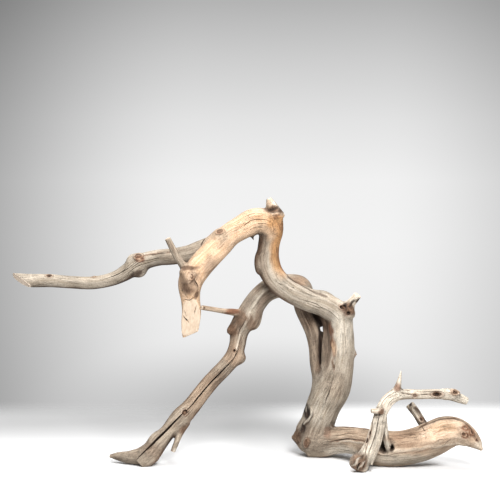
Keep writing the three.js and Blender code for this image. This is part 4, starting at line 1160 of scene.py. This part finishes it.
def blade_tree(material):
    """A three-sided blade along a row of points, its edge into the wood."""
    tree, w, start, end = new_geometry_tree("crack blade", Proud=("NodeSocketFloat", BLADE_PROUD))
    line = w.add("GeometryNodeMeshToCurve", {"Mesh": start["Geometry"]})
    corners = w.add("GeometryNodeCurvePrimitiveCircle", {"Resolution": 3, "Radius": 1.0})
    corners = w.add("GeometryNodeStoreNamedAttribute", {
        "Geometry": corners, "Name": "corner", "Value": w.add("GeometryNodeInputPosition")},
        data_type="FLOAT_VECTOR", domain="POINT")
    blade = w.add("GeometryNodeCurveToMesh", {"Curve": line, "Profile Curve": corners, "Fill Caps": True})
    corner = w.split(read(w, "corner"))
    edge = w.math("GREATER_THAN", corner["X"], 0.0)
    sunk = w.math("MULTIPLY", read(w, "deep", "FLOAT"), -1.0)
    lift = w.scaled(read(w, "outward"), w.mix(edge, start["Proud"], sunk, kind="FLOAT"))
    aside = w.scaled(read(w, "across"), w.math("MULTIPLY", corner["Y"], read(w, "wide", "FLOAT")))
    place = w.vector("ADD", w.vector("ADD", read(w, "centre"), lift), aside)
    close_tree(w, w.add("GeometryNodeSetPosition", {"Geometry": blade, "Position": place}), end, material)
    return tree


def catmull(path, count):
    """Even samples of a smooth route through points of (share, degrees)."""
    path = np.array(path, float)
    ends = np.vstack([path[0], path, path[-1]])
    spot = np.linspace(0, len(path) - 1, count)
    cell = np.minimum(spot.astype(int), len(path) - 2)
    leaving = (ends[cell + 2] - ends[cell]) / 2
    arriving = (ends[cell + 3] - ends[cell + 1]) / 2
    return Spine.spring(ends[cell + 1], ends[cell + 2], leaving, arriving, (spot - cell)[:, None])


def limb_route(spine, path):
    """The points, outward directions and widths of a crack, from points of (share, degrees, width)."""
    corners = spine.surface(*np.array([(share, math.radians(turn)) for share, turn, _ in path]).T)[0]
    reach = np.linalg.norm(np.diff(corners, axis=0), axis=1).sum()
    route = catmull(path, max(4, math.ceil(reach / BLADE_STEP)))
    return *spine.surface(route[:, 0], np.radians(route[:, 1])), route[:, 2]


def cut_route(cut, path):
    """The same for a crack in a flat cut, from points of (x, z, width)."""
    at, facing = np.array(cut["at"]), unit(cut["facing"])
    x, z, width = catmull(path, 3 * len(path)).T
    y = at[1] - ((x - at[0]) * facing[0] + (z - at[2]) * facing[2]) / facing[1]
    return np.stack([x, y, z], -1), np.tile(facing, (len(x), 1)), width


def blade_for(name, grid, points, outward, width, depth, tree):
    """The blade that opens a crack, or None off the open wood."""
    buried = grid.depth(points)
    if buried.max() > BURIED or buried.min() < -AFLOAT:
        return None
    points = points + outward * buried[:, None]
    along = unit(np.gradient(points, axis=0))
    opened = BLADE_TIP + (1 - BLADE_TIP) * np.sqrt(np.sin(np.pi * np.linspace(0, 1, len(points))))
    wide = opened * width * (depth + BLADE_PROUD) / depth / 2
    row = chain(name, points, outward=outward, across=np.cross(outward, along),
                wide=wide, deep=opened * depth)
    return as_object(name, grown(row, tree, Proud=BLADE_PROUD))


def open_cracks(obj, grid, spines, tree):
    """Cuts the drying cracks out of the skin."""
    blades = bpy.data.collections.new("blades")
    bpy.context.scene.collection.children.link(blades)
    made = [blade_for(name, grid, *limb_route(spines[limb], path), depth, tree)
            for name, (limb, depth, path) in CRACKS.items()]
    made += [blade_for(name, grid, *cut_route(CUTS[limb][0], path), depth, tree)
             for name, (limb, depth, path) in CUT_CRACKS.items()]
    draw = random.Random(CHECK_SEED)
    for limb, count in CHECKS.items():
        for number in range(count):
            reach = draw.uniform(*CHECK_LENGTH) / spines[limb].length
            begin = draw.uniform(CHECK_FIRST, max(CHECK_FIRST + CHECK_SLACK, CHECK_LAST - reach))
            angle = draw.uniform(-180, 180)
            width = draw.uniform(*CHECK_WIDTH)
            shares = begin + reach * np.arange(CHECK_POINTS) / (CHECK_POINTS - 1)
            path = [(share, angle + draw.uniform(-CHECK_WAVER, CHECK_WAVER), width) for share in shares]
            made.append(blade_for(f"check_{limb}_{number}", grid, *limb_route(spines[limb], path),
                                  draw.uniform(*CHECK_DEPTH), tree))
    made = [blade for blade in made if blade]
    for blade in made:
        bpy.context.scene.collection.objects.unlink(blade)
        blades.objects.link(blade)
    cut = obj.modifiers.new("cracks", "BOOLEAN")
    cut.operation, cut.solver = "DIFFERENCE", "MANIFOLD"
    cut.operand_type, cut.collection = "COLLECTION", blades
    mesh = finished(obj)
    for blade in made:
        bpy.data.objects.remove(blade)
    bpy.data.collections.remove(blades)
    return mesh


def knot_relief(points, normals, spines):
    """How far knots lift points, how many knot sizes off the nearest one they lie, and how dark that one is."""
    nearest = np.full(len(points), KNOT_REACH)
    rise, darkness = np.zeros((2, len(points)))
    for limb, share, degrees, size, ring, depth, stub, stretch, dark in KNOTS:
        spine = spines[limb]
        centre, outward = spine.surface(np.array([share]), np.radians([degrees]))
        tangent = spine.at(np.array([share]))[2][0]
        offset = points - centre
        along = offset @ tangent
        across = offset @ np.cross(outward[0], tangent)
        inward = offset @ outward[0]
        place = np.sqrt((along / stretch) ** 2 + across ** 2) / size
        near = (place < KNOT_REACH) & (normals @ outward[0] > KNOT_LOOK) & (np.abs(inward) < 2 * size)
        lift = (ring * np.exp(-((place - 1) / RING_WIDTH) ** 2) - depth * (1 - ramp(place, *KNOT_BOWL))
                + stub * (1 - ramp(place, *KNOT_STUB)))
        rise += np.where(near, lift, 0)
        darkness = np.where(near & (place < nearest), dark, darkness)
        nearest = np.where(near, np.minimum(nearest, place), nearest)
    return rise, nearest, darkness


# Materials

def attribute(w, name, output="Vector"):
    return w.add("ShaderNodeAttribute", output=output, attribute_name=name)


def streak_group():
    """A noise that is long along the grain of the two nearest limbs, mixed where the limbs meet."""
    inputs = {"Grain A": ("NodeSocketVector", None), "Grain B": ("NodeSocketVector", None)}
    for name, value in (("Second", 0.0), ("Width", 3.0), ("Stretch", 12.0), ("Seed", 1.0)):
        inputs[name] = ("NodeSocketFloat", value)
    tree, w, start, end = new_group("ShaderNodeTree", "grain streaks", inputs, {"Streak": "NodeSocketFloat"})
    pair = [w.noise(flowing(w, start[name], start["Width"], start["Stretch"], start["Seed"]), 2.0)
            for name in ("Grain A", "Grain B")]
    tree.links.new(w.mix(start["Second"], *pair, kind="FLOAT"), end["Streak"])
    return tree


class WoodWiring(Wiring):
    """A material's wiring with the grain of the wood at hand."""

    def __init__(self, material, streaks):
        super().__init__(material.node_tree)
        self.streaks = streaks
        self.places = {"Grain A": attribute(self, "grain_a"), "Grain B": attribute(self, "grain_b"),
                       "Second": attribute(self, "second", "Fac")}

    def streak(self, width, stretch, seed):
        return self.group(self.streaks, {**self.places, "Width": width, "Stretch": stretch, "Seed": seed})

    def lines(self, width, stretch, seed, thin, scarce):
        """Thin lines along the grain: 1 on a line. They come only where a slower noise is high."""
        away = self.math("ABSOLUTE", self.math("SUBTRACT", self.streak(width, stretch, seed), 0.5))
        there = self.ease(self.streak(width * 5, 3.0, seed + 3.0), scarce, scarce + 0.1)
        return self.math("MULTIPLY", self.ease(away, 0.0, thin, 1.0, 0.0), there)


def new_material(name):
    material = bpy.data.materials.new(name)
    material.use_nodes = True
    material.node_tree.nodes.clear()
    return material


def close_material(w, colour, roughness, height, relief, gloss=0.28):
    """The surface itself: its colour, roughness, and fine relief of the given height in millimetres."""
    bump = w.add("ShaderNodeBump", {"Height": height, "Strength": 1.0, "Distance": relief * MM})
    w.close("ShaderNodeOutputMaterial", w.add("ShaderNodeBsdfPrincipled", {
        "Base Color": colour, "Roughness": roughness, "Normal": bump, "Specular IOR Level": gloss}))


def weathered_wood(streaks):
    """Silvered wood: streaked tones, grain lines, painted shade in the hollows and cracks, a painted highlight
    on bulges, and rings round the knots.
    """
    material = new_material("weathered manzanita")
    w = WoodWiring(material, streaks)
    broad, mid, fine, fibre = [w.streak(*layer) for layer in GRAIN_LAYERS]
    mixed = w.weighted((broad, 0.3), (mid, 0.3), (fine, 0.27), (fibre, 0.13))
    dark = attribute(w, "tone_dark")
    colour = w.mix(w.ease(mixed, 0.38, 0.58), dark, attribute(w, "tone_light"))
    grain_line = w.math("MAXIMUM", w.lines(3.4, 16.0, 5.0, 0.02, 0.47), w.lines(1.8, 22.0, 8.0, 0.022, 0.5))
    colour = w.mix(w.math("MULTIPLY", grain_line, LINE_STRENGTH), colour, w.scaled(dark, LINE_TONE))
    place = w.scaled(w.add("ShaderNodeTexCoord", output="Object"), 1 / MM)
    blotch = w.noise(w.scaled(place, 1 / 20), 3.0, 0.6)
    colour = w.scaled(colour, w.ease(blotch, 0.3, 0.7, 0.82, 1.1))
    speck = w.noise(w.scaled(place, 1 / 1.3), 1.0)
    colour = w.scaled(colour, w.ease(speck, 0.32, 0.6, 0.78, 1.06))
    # painted shade in the hollows of the skin and a painted highlight on its bulges
    hollow = attribute(w, "hollow", "Fac")
    colour = w.scaled(colour, w.ease(hollow, -0.22, 0.28, 1.12, 0.55))
    # painted shade where other wood closes in
    shut = w.ease(attribute(w, "closed", "Fac"), *PAINTED_SHADE_SHUT, 0.0, PAINTED_SHADE_STRENGTH)
    colour = w.mix(shut, colour, PAINTED_SHADE)
    ring, eye = attribute(w, "knot", "Fac"), attribute(w, "eye", "Fac")
    ring = w.math("MULTIPLY_ADD", w.math("SUBTRACT", mid, 0.5), 0.5, ring)
    colour = w.mix(w.ease(ring, *KNOT_STAIN_RIM, KNOT_STAIN_STRENGTH, 0.0), colour, KNOT_STAIN)
    for at, half, strength in KNOT_LINES:
        away = w.math("ABSOLUTE", w.math("SUBTRACT", ring, at))
        colour = w.mix(w.ease(away, 0.0, half, strength, 0.0), colour, KNOT_LINE)
    middle = w.math("MULTIPLY", w.ease(ring, *KNOT_EYE_RIM, 1.0, 0.0), eye)
    colour = w.mix(middle, colour, KNOT_EYE)
    # painted shade deep in the cracks
    below = w.ease(attribute(w, "depth", "Fac"), *CRACK_DEPTHS)
    colour = w.mix(below, colour, CRACK_SHADE)
    height = w.weighted((mid, 0.4), (fine, 0.4), (fibre, 0.3), (grain_line, -0.4), (speck, 0.25))
    roughness = w.ease(mixed, 0.3, 0.7, 0.92, 0.76)
    close_material(w, colour, roughness, height, 1.1)
    return material


def cut_wood(streaks):
    """Sawn and broken faces: pale, with rings round the heart and a rough surface."""
    material = new_material("cut manzanita")
    w = WoodWiring(material, streaks)
    place = w.split(w.places["Grain A"])
    heart = w.away(place["Y"], place["Z"])
    rings = w.math("SINE", w.weighted((w.streak(6.0, 2.0, 4.0), 7.0), (heart, 2.6)))
    fibre = w.streak(2.4, 4.0, 6.0)
    mixed = w.math("MULTIPLY_ADD", rings, 0.03, fibre)
    colour = w.mix(w.ease(mixed, 0.15, 0.75), attribute(w, "tone_dark"), attribute(w, "tone_light"))
    close_material(w, colour, w.ease(fibre, 0.3, 0.7, 0.92, 0.8), mixed, 0.3, 0.2)
    return material


# The whole piece

def tone_of(points, grain, spines):
    """The light and the dark tone at each point: the limbs' own, with patches and strokes over them."""
    tone = grain.blend({name: np.ravel(TONES[LIMB_TONES[name]]) for name in grain.names})
    drift = wander(points)
    for name, at, size, strength, tilt in PATCHES:
        share = soft_spot(drift, at, size, tilt) * strength
        tone += (np.ravel(TONES[name]) - tone) * share[:, None]
    for name, limb, strength, width, _, path in STROKES:
        share = stroke_share(drift, spines[limb], width, path) * strength
        tone += (np.ravel(TONES[name]) - tone) * share[:, None]
    return tone[:, :3], tone[:, 3:]


def stroke_share(points, spine, width, path):
    """1 along a painted route over a limb, falling to 0 at its width."""
    route = catmull(path, 8 * len(path))
    line, _ = spine.surface(route[:, 0], np.radians(route[:, 1]))
    share = np.zeros(len(points))
    inside = (points > line.min(0) - width) & (points < line.max(0) + width)
    near = np.flatnonzero(inside.all(axis=1))
    away = np.full(len(near), FAR)
    for start, end in zip(line[:-1], line[1:]):
        step = end - start
        part = np.clip((points[near] - start) @ step / (step @ step), 0, 1)
        away = np.minimum(away, np.linalg.norm(points[near] - start - part[:, None] * step, axis=1))
    share[near] = 1 - ramp(away / width, STROKE_CORE, 1)
    return share


def hollowness(mesh, points, normals):
    """How far each point lies in a hollow of its neighbours, in shares of their distance."""
    a, b = read_all(mesh.edges, "vertices", 2).T
    both, other = np.concatenate([a, b]), np.concatenate([b, a])
    count = np.maximum(np.bincount(both, minlength=len(points)), 1)

    def around(values):
        return np.bincount(both, values[other], len(points)) / count

    mean = np.stack([around(axis) for axis in points.T], -1)
    apart = np.linalg.norm(points[both] - points[other], axis=1)
    length = np.bincount(both, apart, len(points)) / count
    bend = ((mean - points) * normals).sum(1) / np.maximum(length, 1e-6)
    for _ in range(2):
        bend = (bend + around(bend)) / 2
    return bend


def cut_faces(points, normals, spines):
    """The tone of each flat cut and broken end of a shoot, with the points that lie on it."""
    for name, tone in CUT_TONES.items():
        spine = spines[name]
        faces = [(cut["at"], unit(cut["facing"]), CUT_REACH) for cut in CUTS.get(name, ())]
        tip = (spine.centre[-1], spine.tangent[-1], spine.radius[-1] * END_REACH)
        for at, facing, reach in faces or [tip]:
            offset = points - np.array(at)
            flat = (np.abs(offset @ facing) < CUT_NEAR) & (normals @ facing > CUT_LOOK)
            yield tone, flat & (np.linalg.norm(offset, axis=1) < reach)


def grow_skin(spines, grid, wood):
    """Fuses the limbs, lumps and pits, and gives the skin of the whole."""
    tree = limb_tree(wood)
    for name, spine in spines.items():
        blend = LIMBS[name]["blend"] if name in LIMBS else SHOOT_BLEND
        grid.join_mesh(limb_mesh(name, spine, tree), blend, CUTS.get(name, ()), HOLLOWS.get(name, ()))
    for lump in LUMPS.values():
        grid.join_lump(lump)
    for pit in PITS.values():
        grid.cut_pit(pit)
    grid.cut_floor()
    return grid.skin("skin")


def weather(skin, spines, wood):
    """Flutes, grooves and knots on the skin, then as few triangles as keep them."""
    grain = Grain(points_of(skin), spines)
    cut = np.any([on for _, on in cut_faces(points_of(skin), normals_of(skin), spines)], axis=0)
    set_value(skin, "grain_a", grain.place[0])
    set_value(skin, "grain_b", grain.place[1])
    set_value(skin, "second", grain.second)
    set_value(skin, "rough", grain.blend(ROUGHNESS) * np.where(cut, CUT_RELIEF, 1))
    skin = grown(as_object("skin", skin), relief_tree(wood))
    rise, _, _ = knot_relief(points_of(skin), normals_of(skin), spines)
    for _, limb, _, width, height, path in STROKES:
        rise += stroke_share(points_of(skin), spines[limb], width, path) * height
    points = points_of(skin) + normals_of(skin) * rise[:, None]
    points[:, 2] = np.maximum(points[:, 2], 0)
    move_points(skin, points)
    obj = as_object("skin", skin)
    fewer = obj.modifiers.new("fewer", "DECIMATE")
    fewer.ratio = FINEST_TRIANGLES / (2 * len(skin.polygons))
    return finished(obj)


def dress(mesh, spines, grid, materials):
    """Stores what the materials read, puts the cut faces on their own material, and sets the scale."""
    points, normals = points_of(mesh), normals_of(mesh)
    grain = Grain(points, spines)
    _, knot, eye = knot_relief(points, normals, spines)
    light, dark = tone_of(points, grain, spines)
    cut = np.zeros(len(points), bool)
    for tone, on in cut_faces(points, normals, spines):
        light[on], dark[on] = TONES[tone]
        cut |= on
    for name, values in {
        "grain_a": grain.place[0], "grain_b": grain.place[1], "second": grain.second, "tone_light": light,
        "tone_dark": dark, "depth": grid.depth(points), "hollow": hollowness(mesh, points, normals),
        "knot": knot, "eye": eye, "closed": grid.closeness(points, normals),
    }.items():
        set_value(mesh, name, values)
    mesh.materials.clear()
    for material in materials:
        mesh.materials.append(material)
    on_cut = cut[read_all(mesh.loops, "vertex_index")].astype(float)
    corners = read_all(mesh.polygons, "loop_total")
    shares = np.add.reduceat(on_cut, read_all(mesh.polygons, "loop_start")) / corners
    mesh.polygons.foreach_set("material_index", (shares > CUT_SHARE).astype(np.int32))
    move_points(mesh, (points - ORIGIN) * MM)
    mesh.shade_smooth()
    mesh.set_sharp_from_angle(angle=math.radians(EDGE_ANGLE))


# Stage

def build_camera():
    data = bpy.data.cameras.new("camera")
    data.lens, data.sensor_width, data.clip_end = CAMERA_LENS, CAMERA_SENSOR, CAMERA_FAR
    camera = bpy.data.objects.new("camera", data)
    camera.location = (np.array(CAMERA_AT) - ORIGIN) * MM
    camera.rotation_euler = (math.radians(90 - CAMERA_DOWN), 0, 0)
    bpy.context.scene.collection.objects.link(camera)
    bpy.context.scene.camera = camera


def add_light(name, at, size, power):
    data = bpy.data.lights.new(name, "AREA")
    data.shape, data.size, data.size_y = "RECTANGLE", *size
    data.energy = power
    light = bpy.data.objects.new(name, data)
    light.location = at
    light.rotation_euler = (Vector(LIGHTS_AIM) - Vector(at)).to_track_quat("-Z", "Y").to_euler()
    bpy.context.scene.collection.objects.link(light)


def build_floor():
    """A white sheet whose rim fades into the room."""
    half_x, half_y = FLOOR_HALF
    mesh = bpy.data.meshes.new("floor")
    corners = [(-half_x, -half_y, 0), (half_x, -half_y, 0), (half_x, half_y, 0), (-half_x, half_y, 0)]
    mesh.from_pydata(corners, [], [(0, 1, 2, 3)])
    floor = as_object("floor", mesh)
    material = new_material("white floor")
    w = Wiring(material.node_tree)
    place = w.split(w.add("ShaderNodeTexCoord", output="Object"))
    rims = [w.ease(w.math("ABSOLUTE", place[axis]), half * FLOOR_FADE, half, 1.0, 0.0)
            for axis, half in (("X", half_x), ("Y", half_y))]
    # painted shade at the left back of the floor
    shaded_left = w.math("MULTIPLY", w.ease(place["X"], *FLOOR_LEFT_SHADE_X), w.ease(place["Y"], *FLOOR_LEFT_SHADE_Y))
    white = w.math("SUBTRACT", 1.0, w.math("MULTIPLY", shaded_left, FLOOR_LEFT_SHADE))
    white = w.math("MULTIPLY", white, w.spot(place, **FLOOR_SHADOW))
    seen = w.add("ShaderNodeLightPath", output="Is Camera Ray")
    grey = w.mix(seen, (FLOOR_BOUNCE, FLOOR_BOUNCE, FLOOR_BOUNCE, 1), w.scaled(white, FLOOR_WHITE))
    sheet = w.add("ShaderNodeBsdfDiffuse", {"Color": grey})
    clear = w.add("ShaderNodeBsdfTransparent")
    shown = w.math("MULTIPLY", *rims)
    w.close("ShaderNodeOutputMaterial", w.add("ShaderNodeMixShader", {0: shown, 1: clear, 2: sheet}))
    mesh.materials.append(material)


def build_room():
    """Even light from all round, and a pale backdrop with painted shade that darkens it up and down."""
    world = bpy.data.worlds.new("room")
    bpy.context.scene.world = world
    world.use_nodes = True
    world.node_tree.nodes.clear()
    w = Wiring(world.node_tree)
    sight = w.split(w.add("ShaderNodeTexCoord", output="Generated"))
    height = w.add("ShaderNodeMapRange", {
        "Value": sight["Z"], "From Min": BACKDROP_LOW, "From Max": BACKDROP_HIGH})
    grey = w.add("ShaderNodeValToRGB", {0: height})
    stops = grey.node.color_ramp.elements
    places = [(rise - BACKDROP_LOW) / (BACKDROP_HIGH - BACKDROP_LOW) for rise, _ in BACKDROP]
    stops[0].position, stops[1].position = places[0], places[-1]
    for place in places[1:-1]:
        stops.new(place)
    for stop, (_, shade) in zip(stops, BACKDROP):
        stop.color = (shade, shade, shade, 1)
    slope = w.math("DIVIDE", sight["X"], w.math("ABSOLUTE", sight["Y"]))
    fade = 1.0
    for (outer, inner), depth in ((LEFT_SHADE, LEFT_DEPTH), (RIGHT_SHADE, RIGHT_DEPTH)):
        side = w.math("MULTIPLY", w.ease(slope, *outer), w.ease(slope, *inner))
        fade = w.math("SUBTRACT", fade, w.math("MULTIPLY", side, depth))
    fade = w.math("MULTIPLY", fade, w.spot({"X": slope, "Z": sight["Z"]}, **WALL_SHADOW))
    seen = w.add("ShaderNodeLightPath", output="Is Camera Ray")
    light = w.add("ShaderNodeBackground", {"Color": (1, 1, 1, 1), "Strength": ROOM_LIGHT})
    backdrop = w.add("ShaderNodeBackground", {"Color": grey, "Strength": fade})
    w.close("ShaderNodeOutputWorld", w.add("ShaderNodeMixShader", {0: seen, 1: light, 2: backdrop}))


# The scene

wood_streaks = streak_group()
materials = [weathered_wood(wood_streaks), cut_wood(wood_streaks)]
build_camera()
build_floor()
build_room()
for name, light in LIGHTS.items():
    add_light(name, *light)
bpy.context.scene.view_settings.view_transform = "Standard"

spines = {name: Spine(limb["stations"], limb["seed"]) for name, limb in LIMBS.items()}
spines.update({name: Spine(stations) for name, stations in SHOOTS.items()})
grid = Grid()
mesh = weather(grow_skin(spines, grid, materials[0]), spines, materials[0])
mesh = open_cracks(as_object("skin", mesh), grid, spines, blade_tree(materials[0]))
dress(mesh, spines, grid, materials)
wood = as_object("weathered_driftwood", mesh)
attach(wood, BODY)
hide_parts(NODE)
